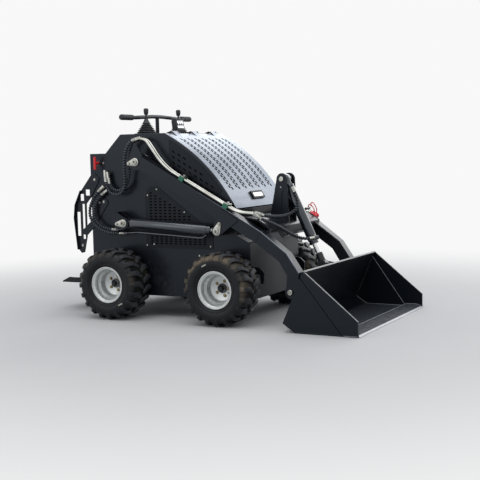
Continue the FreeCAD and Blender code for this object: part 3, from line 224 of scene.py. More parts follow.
# Hydraulic hoses: black rubber pressure hoses, 16 mm across, in spiral guards of black plastic. Each
# is pressed into a zinc ferrule at both ends, and runs, curving, between the two bodies that it joins.
hose_radius = 0.008
side_plate = 358


def at(x, y, z):
    """A place on the machine, in metres, from millimetres counted from the rear axle."""
    return Vector((x / 1000 - 0.585, y / 1000, z / 1000))


def moulded(name, colour, roughness, grain=0.0001):
    """Moulded rubber or plastic, mottled a little and with a fine grain."""
    # The specular is tinted blue: a painted sky colour in the reflections.
    skin = Finish(name, Specular_Tint=(0.85, 0.92, 1.0))
    cloud = skin.noise(9.0, 4.0)
    skin.wear(Base_Color=skin.mix(cloud, [0.8 * part for part in colour], [1.25 * part for part in colour]))
    skin.wear(Roughness=roughness + 0.12 * cloud)
    skin.bump(skin.noise(700.0, 2.0), grain)
    return skin.material


def plated(name, colour, roughness, patches):
    """Bare or plated metal with darker, duller patches."""
    metal = Finish(name, Metallic=1.0)
    patch = metal.noise(14.0, 3.0).rise(0.35, 0.7)
    scratch = metal.noise(90.0, 3.0, (1, 7, 1))
    metal.wear(Base_Color=metal.mix(patch, colour, patches))
    metal.wear(Roughness=roughness + 0.12 * patch + 0.06 * scratch)
    metal.bump(scratch, 0.00002)
    return metal.material


hose_rubber = moulded("hose_rubber", (0.003, 0.0032, 0.0036), 0.65)
guard_plastic = moulded("guard_plastic", (0.036, 0.041, 0.052), 0.14)
zinc = plated("zinc", (0.44, 0.445, 0.42), 0.18, (0.34, 0.34, 0.31))


def put(name, parts, material, body, replaces=(), smooth=35):
    """Joins the parts into one piece in its place, gives it its finish and sets it on its body."""
    deselect()
    for part in parts:
        part.select_set(True)
    piece = parts[0]
    bpy.context.view_layer.objects.active = piece
    if len(parts) > 1:
        bpy.ops.object.join()
    bpy.ops.object.transform_apply(location=True, rotation=True, scale=True)
    bpy.ops.object.shade_smooth_by_angle(angle=math.radians(smooth))
    piece.name = name
    piece.data.name = name
    piece.data.materials.clear()
    piece.data.materials.append(material)
    if body:
        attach(piece, body)
    if replaces:
        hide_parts(*replaces)
    return piece


def turned(points, start, direction, steps=32):
    """A shape turned about a line: a vertex drawn out through (distance, radius) points, then spun."""
    deselect()
    bpy.ops.mesh.primitive_plane_add(size=0.001)
    piece = bpy.context.object
    bpy.ops.object.mode_set(mode="EDIT")
    bpy.ops.mesh.merge(type="CENTER")
    places = [Vector((radius, 0, distance)) for distance, radius in points]
    bpy.ops.transform.translate(value=places[0])
    for before, after in zip(places, places[1:]):
        bpy.ops.mesh.extrude_vertices_move(TRANSFORM_OT_translate={"value": after - before})
    bpy.ops.mesh.select_all(action="SELECT")
    bpy.ops.mesh.spin(steps=steps, angle=math.tau, center=(0, 0, 0), axis=(0, 0, 1))
    bpy.ops.mesh.select_all(action="SELECT")
    bpy.ops.mesh.remove_doubles(threshold=0.00001)
    bpy.ops.mesh.normals_make_consistent(inside=False)
    bpy.ops.object.mode_set(mode="OBJECT")
    turn = Vector(direction).to_track_quat("Z", "Y").to_matrix().to_4x4()
    piece.matrix_world = Matrix.Translation(start) @ turn
    bpy.context.view_layer.update()
    return piece


def drawn_curve(route, radius=0.0, kind="NURBS", sides=3):
    """A curve along the route, with the points as its control points."""
    line = bpy.data.curves.new("line", "CURVE")
    line.dimensions = "3D"
    line.resolution_u = 10
    line.bevel_depth = radius
    line.bevel_resolution = sides
    line.use_fill_caps = True
    spline = line.splines.new(kind)
    spline.points.add(len(route) - 1)
    for point, place in zip(spline.points, route):
        point.co = (*place, 1)
    if kind == "NURBS":
        spline.order_u = 3
        spline.use_endpoint_u = True
    return bpy.data.objects.new("line", line)


def as_mesh(thing, name):
    """A mesh piece with what a curve shows."""
    scene.collection.objects.link(thing)
    bpy.context.view_layer.update()
    made = bpy.data.meshes.new_from_object(thing.evaluated_get(bpy.context.evaluated_depsgraph_get()))
    piece = bpy.data.objects.new(name, made)
    scene.collection.objects.link(piece)
    bpy.data.objects.remove(thing)
    return piece


def line_points(route):
    """The places along the route's own smooth line."""
    line = as_mesh(drawn_curve(route), "route")
    places = [vertex.co.copy() for vertex in line.data.vertices]
    bpy.data.objects.remove(line)
    return places


def spiral_guard(places, name):
    """A plastic strip wound round a hose, following the points of its line."""
    pitch = 0.0175
    strip_radius = 0.0039
    clearance = 0.0004
    turn_steps = 10
    winding = []
    side = (places[1] - places[0]).cross((0, 0, 1)).normalized()
    walked = 0.0
    for before, after in zip(places, places[1:]):
        run = after - before
        forward = run.normalized()
        side = (side - forward * side.dot(forward)).normalized()
        count = max(1, round(run.length / pitch * turn_steps))
        for step in range(count):
            angle = math.tau * (walked + run.length * step / count) / pitch
            out = side * math.cos(angle) + forward.cross(side) * math.sin(angle)
            winding.append(before + run * (step / count) + out * (hose_radius + clearance))
        walked += run.length
    return as_mesh(drawn_curve(winding, strip_radius, "POLY", 1), name)


def ferrule(end, inner):
    """The ridged sleeve pressed on a hose's end; it starts at the end and reaches back over the hose."""
    ridges = [(0, 0.0085), (0, 0.0118)]
    for ridge in range(4):
        start = 0.001 + 0.008 * ridge
        ridges += [(start, 0.0126), (start + 0.0045, 0.0126),
                   (start + 0.0052, 0.0102), (start + 0.0073, 0.0102)]
    ridges += [(0.034, 0.011), (0.034, 0.0083), (0, 0.0085)]
    return turned(ridges, end, inner - end, 20)


side_hoses = {
    "arm_hose_outer": [(-118, 26, 922), (-112, 32, 858), (-60, 46, 806), (14, 58, 805), (66, 66, 857),
                       (63, 70, 937), (67, 71, 1019), (79, 71, 1097), (116, 71, 1152), (168, 71, 1164)],
    "arm_hose_inner": [(-92, 26, 912), (-84, 28, 866), (-44, 34, 832), (12, 39, 832), (58, 42, 866),
                       (82, 43, 926), (86, 43, 996), (88, 43, 1066), (102, 43, 1126), (134, 43, 1158),
                       (168, 43, 1164)],
    "lift_hose_outer": [(-155, 26, 846), (-193, 30, 812), (-226, 36, 768), (-244, 42, 716), (-240, 50, 662),
                        (-206, 58, 612), (-149, 62, 574), (-81, 62, 551), (-14, 60, 550), (38, 57, 552)],
    "lift_hose_inner": [(-126, 26, 822), (-170, 27, 792), (-202, 28, 752), (-220, 30, 704), (-216, 34, 656),
                        (-190, 38, 616), (-146, 42, 588), (-84, 48, 575), (-22, 57, 576)],
}
tilt_hoses = {
    "tilt_hose_upper": [(1024, -401, 687), (1046, -378, 676), (1060, -322, 668), (1063, -244, 660),
                        (1068, -166, 656), (1090, -96, 664), (1122, -56, 694), (1130, -50, 744),
                        (1112, -48, 792), (1088, -48, 836)],
    "tilt_hose_lower": [(1024, -429, 679), (1050, -404, 652), (1084, -352, 630), (1108, -286, 600),
                        (1132, -214, 562), (1162, -146, 526), (1202, -94, 508), (1250, -68, 516)],
}
ferrules = {}
hose_routes = []
for hose_name, millimetres in side_hoses.items():
    for side_name, hand in (("left", 1), ("right", -1)):
        hose_route = [at(x, hand * (side_plate + y), z) for x, y, z in millimetres]
        carried = "arms" if hose_name.startswith("arm") else f"lift_barrel_{side_name}"
        hose_routes.append((hose_name, f"{hose_name}_{side_name}", hose_route, "chassis", carried))
for hose_name, millimetres in tilt_hoses.items():
    hose_routes.append((hose_name, hose_name, [at(*place) for place in millimetres], "arms", "tilt_barrel"))
for hose_name, node, hose_route, first_body, last_body in hose_routes:
    path = line_points(hose_route)
    hose = as_mesh(drawn_curve(hose_route, hose_radius, sides=5), node + "_rubber")
    hose.data.materials.append(hose_rubber)
    hose.data.polygons.foreach_set("use_smooth", [True] * len(hose.data.polygons))
    guard = spiral_guard(path[3:-3], node + "_guard")
    guard.data.materials.append(guard_plastic)
    guard.data.polygons.foreach_set("use_smooth", [True] * len(guard.data.polygons))
    for piece in (hose, guard):
        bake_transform(piece)
    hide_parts(node)
    ferrules.setdefault(first_body, []).append(ferrule(hose_route[0], hose_route[1]))
    ferrules.setdefault(last_body, []).append(ferrule(hose_route[-1], hose_route[-2]))
for body, sleeves in ferrules.items():
    put(f"ferrules_{body}", sleeves, zinc, body)


# Welded steel: the tub, the arms, the brackets, the tower and the barrels. It is folded and welded
# plate under satin black powder coat, uneven at arm's length, with a fine orange peel and pale dust
# low down.
def coat_of_paint(name, colour, roughness, dust, coat=0.1, gloss=1.34):
    # The specular is tinted blue: a painted sky colour in the reflections.
    paint = Finish(name, Coat_Weight=coat, Coat_Roughness=0.15, IOR=gloss, Specular_Tint=(0.74, 0.86, 1.0))
    cloud = paint.noise(2.6, 4.0)
    speckle = paint.noise(60.0, 6.0)
    low_down = paint.along("Z").rise(0.75, 0.02)
    dusty = low_down * cloud.rise(0.42, 0.7) * speckle.rise(0.35, 0.75) * dust
    toned = paint.mix(cloud.rise(0.3, 0.7), [0.82 * part for part in colour], [1.2 * part for part in colour])
    paint.wear(Base_Color=paint.mix(dusty, toned, (0.11, 0.10, 0.09)))
    paint.wear(Roughness=roughness + 0.1 * cloud + 0.35 * dusty)
    paint.bump(paint.noise(330.0, 2.0), 0.00012)
    return paint


def near_line(finish, first, second, reach):
    """1 on a line in the x and z plane, falling to 0 at the given reach below it, in metres."""
    run = (Vector(second) - Vector(first)).normalized()
    off = (finish.along("Z") - first[2]) * run.x - (finish.along("X") - first[0]) * run.z
    return off.rise(-reach, -0.2 * reach)


def fine_edges(node, width):
    """A copy of a CAD node with its doubles merged, its flat faces whole and its edges rounded."""
    piece = bpy.data.objects.new(node + "_dressed", frame["nodes"][node].data.copy())
    scene.collection.objects.link(piece)
    deselect()
    piece.select_set(True)
    bpy.context.view_layer.objects.active = piece
    bpy.ops.object.mode_set(mode="EDIT")
    bpy.ops.mesh.select_all(action="SELECT")
    bpy.ops.mesh.remove_doubles(threshold=0.00002)
    bpy.ops.mesh.dissolve_limited(angle_limit=math.radians(1))
    bpy.ops.object.mode_set(mode="OBJECT")
    if width:
        edge = piece.modifiers.new("edge", "BEVEL")
        edge.width = width
        edge.segments = 2
        edge.limit_method = "ANGLE"
        edge.angle_limit = math.radians(38)
        bpy.ops.object.modifier_apply(modifier="edge")
    return piece


body_of = {node: body for body, nodes in frame["record"]["behaviour"]["bodies"].items() for node in nodes}


def dress(node, material, edge=0.0012, smooth=35, flat=True):
    """A CAD node in its finish. Its large faces stay flat, so that only the rounded edges shade."""
    piece = put(node + "_dressed", [fine_edges(node, edge)], material, body_of[node], [node],
                smooth)
    if flat:
        normals = piece.modifiers.new("normals", "WEIGHTED_NORMAL")
        normals.keep_sharp = True
        bpy.ops.object.modifier_apply(modifier="normals")
    return piece


body_paint = coat_of_paint("body_paint", (0.0058, 0.0070, 0.0100), 0.27, 0.3).material
barrel_paint = coat_of_paint("barrel_paint", (0.0075, 0.0095, 0.0135), 0.2, 0.1, 0.9, 1.55).material
for node in ("lift_brackets", "wheel_motors", "platform_bracket", "hood_hinges", "coupler_bracket",
             "leg_guards", "quick_attach"):
    dress(node, body_paint)
for node in ("tilt_barrel", "lift_barrel_left", "lift_barrel_right"):
    dress(node, barrel_paint, flat=False)
for node in ("chassis_frame", "tilt_tower"):
    dress(node, body_paint, 0.002)

# Along the arms' upper outer edges, ahead of the pivots, a pale blue-grey line broken into patches is a
# painted highlight of the sky.
arm_black = (0.0066, 0.0078, 0.0108)
ahead_of_pivot = (-0.345, -0.340)
outer_face = (0.4455, 0.4475)
arm_paint = coat_of_paint("arm_paint", arm_black, 0.27, 0.3)
upper_lines = [near_line(arm_paint, at(x1, 0, z1), at(x2, 0, z2), 0.0065)
               for x1, z1, x2, z2 in ((224, 1054, 1063, 583), (1063, 583, 1234, 453), (1234, 453, 1311, 340))]
painted_edge_highlight = (upper_lines[0] + upper_lines[1] + upper_lines[2]) * abs(arm_paint.along("Y")).rise(*outer_face)
painted_edge_highlight = painted_edge_highlight * arm_paint.along("X").rise(*ahead_of_pivot) * arm_paint.noise(9.0, 3.0).rise(0.25, 0.5)
arm_paint.wear(Base_Color=arm_paint.mix(painted_edge_highlight, arm_black, (0.24, 0.26, 0.30)))
dress("loader_arms", arm_paint.material, 0.0035)

arm_inner = 380
arm_outer = 450
arm_middle = 415
arm_bends = [(168, 1030), (1042, 550), (1208, 428), (1272, 330), (1262, 222)]


def on_arm(along, off):
    """A point beside the arm's long run, in millimetres: along it from its pivot, off its upper side."""
    (x1, z1), (x2, z2) = arm_bends[:2]
    length = math.hypot(x2 - x1, z2 - z1)
    dx, dz = (x2 - x1) / length, (z2 - z1) / length
    return x1 + dx * along - dz * off, z1 + dz * along + dx * off


def bead(route, radius=2.4):
    """A weld bead along a line of places, lumpy where the torch stopped."""
    steps = []
    draw = random.Random(5)
    for before, after in zip(route, route[1:]):
        count = max(2, round((after - before).length / 0.007))
        steps += [before + (after - before) * (step / count) for step in range(count)]
    line = drawn_curve(steps + [route[-1]], radius / 1000, "POLY", 1)
    for point in line.data.splines[0].points:
        point.radius = 0.8 + 0.4 * draw.random()
    return as_mesh(line, "bead")


# Welds: small beads, painted over, where the cross member, the tower, the arms' corners and the
# gussets meet.
arm_welds = []
for hand in (1, -1):
    inner = hand * arm_inner
    outer = hand * arm_outer
    arm_welds.append(bead([at(1023, outer, 518), at(1062, outer, 583)]))
    arm_welds.append(bead([at(1190, outer, 400), at(1227, outer, 458)]))
    arm_welds.append(bead([at(1062, outer - hand * 2, 584), at(1062, inner + hand * 2, 584)]))
    arm_welds.append(bead([at(900, inner, 665), at(1010, inner, 651), at(1090, inner, 599)]))
    arm_welds.append(bead([at(915, inner, 547), at(990, inner, 514), at(1080, inner, 544)]))
    arm_welds.append(bead([at(778, outer, 549), at(879, outer, 650)]))
    for ear in (50, 62):
        foot = [at(941, hand * ear, 660), at(1010, hand * ear, 651), at(1068, hand * ear, 614)]
        arm_welds.append(bead(foot))
put("arm_welds", arm_welds, body_paint, "arms")


# Zinc hardware: hexagonal bolts with washers, and the pear-shaped plates that stop the pins turning.
# All is turned or cut steel, bright zinc plated, with its edges worn dull.
def bolt(place, direction, size=8.0):
    """A hexagonal bolt head on its washer, size being the thread's diameter in millimetres."""
    thread = size / 1000
    washer = [(0, 0.0001), (0, 1.15 * thread), (0.12 * thread, 1.2 * thread), (0.24 * thread, 1.15 * thread),
              (0.24 * thread, 0.0001)]
    head = [(0, 0.0001), (0, 0.95 * thread), (0.52 * thread, 0.95 * thread), (0.66 * thread, 0.78 * thread),
            (0.66 * thread, 0.0001)]
    base = Vector(place) + Vector(direction).normalized() * (0.22 * thread)
    return [turned(washer, place, direction, 28), turned(head, base, direction, 6)]


def loft(sections):
    """A solid through sections of the same number of corners: the first is filled, then extruded on."""
    deselect()
    bpy.ops.mesh.primitive_circle_add(vertices=len(sections[0]), radius=0.01, fill_type="NGON")
    piece = bpy.context.object
    bpy.ops.object.mode_set(mode="EDIT")
    for number, section in enumerate(sections):
        if number:
            bpy.ops.mesh.extrude_region_move()
        mesh = bmesh.from_edit_mesh(piece.data)
        face = next(face for face in mesh.faces if face.select)
        for order, vertex in enumerate(face.verts):
            if number:
                before = sections[number - 1]
                order = min(range(len(before)), key=lambda k: (Vector(before[k]) - vertex.co).length)
            vertex.co = section[order]
        bmesh.update_edit_mesh(piece.data)
    bpy.ops.mesh.select_all(action="SELECT")
    bpy.ops.mesh.normals_make_consistent(inside=False)
    bpy.ops.object.mode_set(mode="OBJECT")
    return piece


def rounded(piece, width, segments=2, angle=35):
    deselect()
    piece.select_set(True)
    bpy.context.view_layer.objects.active = piece
    edge = piece.modifiers.new("edge", "BEVEL")
    edge.width = width
    edge.segments = segments
    edge.limit_method = "ANGLE"
    edge.angle_limit = math.radians(angle)
    bpy.ops.object.modifier_apply(modifier="edge")
    return piece


def pin_flag(x, z, degrees, low, high):
    """The zinc retainer of one pin: a pear-shaped plate with a ring round the pin and a bolt in its tip."""
    turn = math.radians(degrees)
    big_end, small_end, length = 26.4, 12.4, 50
    steps = 28
    outline = []
    for step in range(steps):
        angle = math.tau * step / steps
        ahead = math.cos(angle) > 0.24
        radius = small_end if ahead else big_end
        px, pz = (length if ahead else 0) + radius * math.cos(angle), radius * math.sin(angle)
        outline.append((x + px * math.cos(turn) - pz * math.sin(turn),
                        z + px * math.sin(turn) + pz * math.cos(turn)))
    out = 1 if high > low else -1
    plate = loft([[at(px, low, pz) for px, pz in outline], [at(px, high, pz) for px, pz in outline]])
    rounded(plate, 0.0012)
    tip = at(x + length * math.cos(turn), high, z + length * math.sin(turn))
    ring = [(0, 0.0085), (0, 0.0155), (0.003, 0.0165), (0.0075, 0.0158), (0.0088, 0.0140), (0.0088, 0.0085),
            (0.003, 0.0070), (0, 0.0085)]
    nipple = [(0, 0.0001), (0, 0.004), (0.004, 0.004), (0.005, 0.0022), (0.010, 0.0022), (0.0115, 0.0001)]
    on_pin = [turned(ring, at(x, high, z), (0, out, 0), 36), turned(nipple, at(x, high, z), (0, out, 0), 16)]
    return [plate] + on_pin + bolt(tip, (0, out, 0), 9)


dress("arm_pivot_pins", zinc)
flag_thick = 7
pivot_face, foot_face, rod_face = 452.6, 448.6, 457.6
chassis_flags = []
arm_flags = []
for hand in (1, -1):
    chassis_flags += pin_flag(168, 1018, 190, hand * pivot_face, hand * (pivot_face + flag_thick))
    chassis_flags += pin_flag(56, 620, 185, hand * foot_face, hand * (foot_face + flag_thick))
    arm_flags += pin_flag(761, 580, 66, hand * rod_face, hand * (rod_face + flag_thick))
put("pin_flags_chassis", chassis_flags, zinc, "chassis")
put("pin_flags_arms", arm_flags, zinc, "arms")

# The tilt cylinder's upper pin: a turned zinc head on each ear of the tower, with its locking bolt.
tower_pins = []
for hand in (1, -1):
    head = [(-0.002, 0.0001), (-0.002, 0.0155), (0.003, 0.0155), (0.005, 0.0135), (0.005, 0.009),
            (0.003, 0.008), (0.003, 0.0001)]
    tower_pins.append(turned(head, at(1024, hand * 70, 888), (0, hand, 0), 36))
    tower_pins += bolt(at(1016, hand * 62, 836), (0, hand, 0), 4)
put("tower_pin_heads", tower_pins, zinc, "arms")

side_bolts = []
for hand in (1, -1):
    out = (0, hand, 0)
    for x, z in ((181, 473), (195, 800), (266, 838), (472, 690), (660, 473), (660, 555), (235, 480)):
        side_bolts += bolt(at(x, hand * (side_plate + 3), z), out, 5)
    for x, z in ((-223, 905), (-153, 756), (-338, 459), (-190, 748)):
        side_bolts += bolt(at(x, hand * (side_plate + 6), z), out, 8)
    for x, z in ((575, 412), (612, 412), (-151, 1014)):
        side_bolts += bolt(at(x, hand * side_plate, z), out, 6)
put("side_bolts", side_bolts, zinc, "chassis")


# Side covers and screens: thin sheet, pierced with rows of slots, bolted on so that the engine bay
# can be reached. The bay is unlit and the engine in it is dull black; behind the slots, a black sheet laid
# on the solid side plate is painted shade.
sheet_paint = coat_of_paint("sheet_paint", (0.0062, 0.0070, 0.0090), 0.32, 0.2, 0.05, 1.28).material
dress("side_covers", sheet_paint, 0)
dress("side_screens", sheet_paint, 0)
# A dead black finish with no reflection: painted shade, for the sheets behind the slots and the beads at the
# bucket's wear strips.
painted_shade_black = Finish("painted_shade_black", IOR=1.0, Roughness=1.0)
painted_shade_black.wear(Base_Color=painted_shade_black.mix(painted_shade_black.noise(30.0), (0.001, 0.001, 0.001), (0.002, 0.002, 0.002)))
painted_shade_sheets = []
for hand in (1, -1):
    for outline in ([(180, 460), (180, 798), (215, 851), (266, 853), (675, 559), (675, 460)],
                    [(372, 962), (372, 1146), (442, 1106), (514, 1055), (582, 1000), (645, 939), (704, 874),
                     (742, 822), (662, 803)]):
        painted_shade_sheets.append(loft([[at(x, hand * (side_plate + y), z) for x, z in outline] for y in (0.2, 0.9)]))
put("painted_shade_behind_slots", painted_shade_sheets, painted_shade_black.material, "chassis")
engine_iron = moulded("engine_iron", (0.006, 0.006, 0.006), 0.85)
dress("engine_block", engine_iron)


# Hood: one sheet of steel bent to a long curve, pierced with seven double files of short slots, on
# three hinges at the console. Its gloss is higher than the frame's, so that it mirrors the sky.
hood_paint = coat_of_paint("hood_paint", (0.15, 0.16, 0.18), 0.2, 0.1, 0.22, 1.36)
# The hood's colour is painted lighter towards its top and in broad streaks across it: a painted reflection of
# the sky.
painted_sky_reflection = hood_paint.noise(7.0, 3.0, (1, 0.25, 1)).rise(0.35, 0.65)
painted_sky_reflection = 0.25 * painted_sky_reflection + 0.75 * hood_paint.along("Z").rise(0.98, 1.20)
hood_paint.wear(Base_Color=hood_paint.mix(painted_sky_reflection, (0.105, 0.115, 0.135), (0.42, 0.43, 0.46)), Metallic=0.5)
hood_paint = hood_paint.material
hood_centre = at(-180.6, 0, 142.9)
slotted_below = 1.168
slotted_half = 0.322
file_spacing = 92
slot_inner, slot_outer = 2, 12
wide_inner, wide_outer = 3.5, 21.5


def widened(y):
    """Where a slot's corner goes across the hood: out from its file, so that slots are 18 mm wide."""
    column = file_spacing * round(1000 * y / file_spacing)
    off = abs(1000 * y - column)
    if off < slot_inner:
        moved = wide_inner / slot_inner * off
    elif off < slot_outer:
        moved = wide_inner + (wide_outer - wide_inner) / (slot_outer - slot_inner) * (off - slot_inner)
    else:
        half = file_spacing / 2
        moved = wide_outer + (half - wide_outer) / (half - slot_outer) * (off - slot_outer)
    return (column + math.copysign(moved, 1000 * y - column)) / 1000


hood = dress("hood_cover", hood_paint, 0, 30)
for vertex in hood.data.vertices:
    if vertex.co.z < slotted_below and abs(vertex.co.y) < slotted_half:
        vertex.co.y = widened(vertex.co.y)
# The slots' cut edges face the unlit bay and are given the engine's dull black, as painted shade inside the
# slots.
hood.data.materials.append(engine_iron)
for face in hood.data.polygons:
    out = face.center - hood_centre
    out.y = 0
    if abs(face.normal.dot(out.normalized())) < 0.3 and abs(face.center.y) < 0.34:
        face.material_index = 1

# The latch is a zinc paddle in a black frame.
latch = Finish("latch", IOR=1.2)
brushed = latch.noise(120.0, 3.0, (8, 1, 8))
paddle_half, paddle_low, paddle_high, soft = 0.062, 0.778, 0.802, 0.001
paddle = abs(latch.along("Y")).rise(paddle_half + soft, paddle_half - soft)
paddle = paddle * latch.along("Z").rise(paddle_low - soft, paddle_low + soft)
paddle = paddle * latch.along("Z").rise(paddle_high + soft, paddle_high - soft)
latch.wear(Base_Color=latch.mix(paddle, (0.008, 0.009, 0.011), (0.80, 0.80, 0.79)))
latch.wear(Metallic=0.5 * paddle, Roughness=0.26 + 0.12 * brushed)
dress("hood_latch", latch.material)


# Console: handlebar with ribbed grips, two levers in rubber bellows, a lamp with six lights, and the
# red key of the battery switch on the right side.
grip_rubber = moulded("grip_rubber", (0.013, 0.013, 0.014), 0.5)
dress("handlebar", body_paint)
grips = []
for hand in (1, -1):
    ribs = [(-0.004, 0.0001), (-0.0035, 0.008), (-0.001, 0.0145), (0.002, 0.0178), (0.004, 0.0187)]
    for rib in range(19):
        start = 0.006 + 0.006 * rib
        ribs += [(start, 0.0187), (start + 0.0025, 0.0187), (start + 0.0035, 0.0182), (start + 0.005, 0.0182)]
    ribs += [(0.122, 0.0187), (0.127, 0.0182), (0.127, 0.0001)]
    grips.append(turned(ribs, at(56, hand * 432, 1310), (0, -hand, 0), 28))
put("handlebar_grips", grips, grip_rubber, "chassis")

levers = []
knobs = []
for hand in (1, -1):
    lever_base = at(101, hand * 205, 1200)
    folds = [(0, 0.0001), (0, 0.0835), (0.004, 0.0835), (0.006, 0.072)]
    for fold in range(6):
        wide = 0.066 - 0.0073 * fold
        height = 0.008 + 0.0115 * fold
        folds += [(height, wide - 0.009), (height + 0.004, wide - 0.002), (height + 0.006, wide),
                  (height + 0.008, wide - 0.002)]
    folds += [(0.076, 0.023), (0.097, 0.013), (0.102, 0.011), (0.102, 0.0001)]
    levers.append(turned(folds, lever_base, (0, 0, 1), 40))
    stick = [(0.095, 0.0001), (0.095, 0.0065), (0.133, 0.0065), (0.133, 0.0001)]
    levers.append(turned(stick, lever_base, (0, 0, 1), 16))
    knob = [(0.128, 0.0001), (0.128, 0.010), (0.133, 0.0135), (0.148, 0.0160), (0.160, 0.0168),
            (0.167, 0.015), (0.1705, 0.010), (0.1715, 0.0001)]
    knobs.append(turned(knob, lever_base, (0, 0, 1), 32))
put("lever_bellows", levers + knobs, grip_rubber, "chassis", ["control_levers"], 50)

lamp_body = moulded("lamp_body", (0.018, 0.018, 0.02), 0.45)
dress("work_lamp", lamp_body)
lamp_glass = Finish("lamp_glass", Roughness=0.14, Metallic=1.0, Coat_Weight=1.0, Coat_Roughness=0.03)
lamp_glass.wear(Base_Color=lamp_glass.mix(lamp_glass.noise(60.0), (0.80, 0.82, 0.84), (0.92, 0.93, 0.94)))
lights = []
lamp_middle = at(226, 0, 1262)
lean = Matrix.Rotation(math.radians(-7), 4, "Y")
ahead = lean @ Vector((1, 0, 0))
cup = [(0, 0.0001), (0.0002, 0.006), (0.003, 0.0095), (0.0042, 0.0112), (0.0044, 0.0125), (0.0036, 0.0128),
       (-0.002, 0.0128), (-0.002, 0.0001)]
chip = [(0, 0.0001), (0, 0.0036), (0.0018, 0.0030), (0.0026, 0.0001)]
for column in range(3):
    for row in range(2):
        middle = Vector((0.0125, (-26 + 26 * column) / 1000, (-15 + 30 * row) / 1000))
        place = lamp_middle + lean @ middle
        lights.append(turned(cup, place, ahead, 24))
        lights.append(turned(chip, place, ahead, 16))
put("lamp_lights", lights, lamp_glass.material, "chassis")

# The battery key's handle is red, and its socket on the side plate is black.
key_plastic = Finish("key_plastic")
key_cloud = key_plastic.noise(9.0, 4.0)
socket_face = (-0.3665, -0.3675)
handle = key_plastic.along("Y").rise(*socket_face)
handle_red = key_plastic.mix(key_cloud, (0.52, 0.010, 0.015), (0.70, 0.015, 0.022))
key_plastic.wear(Base_Color=key_plastic.mix(handle, (0.010, 0.011, 0.013), handle_red))
key_plastic.wear(Roughness=0.3 + 0.1 * key_cloud)
dress("isolator_handle", key_plastic.material)
dress("hose_ports", zinc)


# Pipes along the arms: zinc-plated steel tube, two to an arm, in green plastic clamps that are
# screwed down through a zinc cover plate. On the left they end in the two auxiliary couplers.
dress("arm_pipes", zinc)
green_plastic = moulded("green_plastic", (0.012, 0.13, 0.072), 0.4)
dress("pipe_clamps", green_plastic)
clamp_plates = []
for hand in (1, -1):
    for along in (335, 690):
        low, high = 69, 73
        corners = [on_arm(along + 1, low), on_arm(along + 33, low), on_arm(along + 33, high),
                   on_arm(along + 1, high)]
        sections = [[at(x, hand * (arm_middle + y), z) for x, z in corners] for y in (-29, 29)]
        clamp_plates.append(rounded(loft(sections), 0.0008))
        top_x, top_z = on_arm(along + 17, high - 0.5)
        base_x, base_z = on_arm(along + 17, 0)
        up = at(top_x, 0, top_z) - at(base_x, 0, base_z)
        clamp_plates += bolt(at(top_x, hand * arm_middle, top_z), up, 8)
put("clamp_plates", clamp_plates, zinc, "arms")

dress("aux_couplers", zinc)
red_plastic = moulded("red_plastic", (0.62, 0.012, 0.018), 0.3)
dress("coupler_caps", red_plastic)
coupler_parts = []
domes = []
lanyards = []
for hand, drop in ((-1, 0), (1, 10)):
    y = arm_middle + 4 + 20 * hand
    rear_x, rear_z = on_arm(868, 62)
    front_x, front_z = on_arm(930, 62)
    tip_x, tip_z = on_arm(961, 62)
    rear, front = at(rear_x, y, rear_z), at(front_x, y, front_z)
    run = front - rear
    collar = [(0.030, 0.0141), (0.030, 0.0158), (0.033, 0.0165), (0.045, 0.0165), (0.048, 0.0158),
              (0.048, 0.0141)]
    nut = [(0.0, 0.0141), (0.0, 0.0165), (0.012, 0.0165), (0.012, 0.0141)]
    dome = [(0.060, 0.0172), (0.060, 0.0190), (0.068, 0.0197), (0.090, 0.0197), (0.102, 0.0180),
            (0.109, 0.013), (0.112, 0.006), (0.113, 0.0001)]
    coupler_parts.append(turned(collar, rear, run, 24))
    coupler_parts.append(turned(nut, rear, run, 6))
    domes.append(turned(dome, rear, run, 32))
    loop = [at(tip_x - 4, y, tip_z + 2), at(tip_x + 14, y - 8, tip_z + 30),
            at(tip_x - 2, y - 14, tip_z + 66 + drop), at(tip_x - 26, y - 8, tip_z + 84 + drop),
            at(tip_x - 44, y, tip_z + 60 + drop), at(rear_x + 48, y + 2, rear_z + 18)]
    lanyards.append(as_mesh(drawn_curve(loop, 0.0032), "lanyard"))
put("coupler_collars", coupler_parts, zinc, "arms")
put("cap_lanyards", lanyards + domes, red_plastic, "arms")


# Cylinder rods: hard-chromed and ground steel bars that run out of the barrels through their seals. Each
# ends in a weld-on eye and neck, which are painted black with the barrels.
def rod_finish(name, start, end, bright):
    """Chrome as far along the rod as bright, in metres, and black paint beyond."""
    run = (Vector(end) - Vector(start)).normalized()
    rod = Finish(name)
    along = (rod.along("X") - start[0]) * run.x + (rod.along("Z") - start[2]) * run.z
    black = along.rise(bright, bright + 0.001)
    cloud = rod.noise(20.0)
    chrome = rod.mix(cloud, (0.62, 0.63, 0.64), (0.75, 0.76, 0.77))
    rod.wear(Base_Color=rod.mix(black, chrome, (0.008, 0.0085, 0.01)))
    rod.wear(Metallic=1.0 - black, Roughness=0.1 + 0.06 * cloud + 0.2 * black)
    return rod.material


lift_rod_finish = rod_finish("chrome_lift_rod", at(56, 0, 620), at(761, 0, 580), 0.656)
tilt_rod_finish = rod_finish("chrome_tilt_rod", at(1024, 0, 888), at(1280, 0, 340), 0.523)
dress("lift_rod_left", lift_rod_finish)
dress("lift_rod_right", lift_rod_finish)
dress("tilt_rod", tilt_rod_finish)


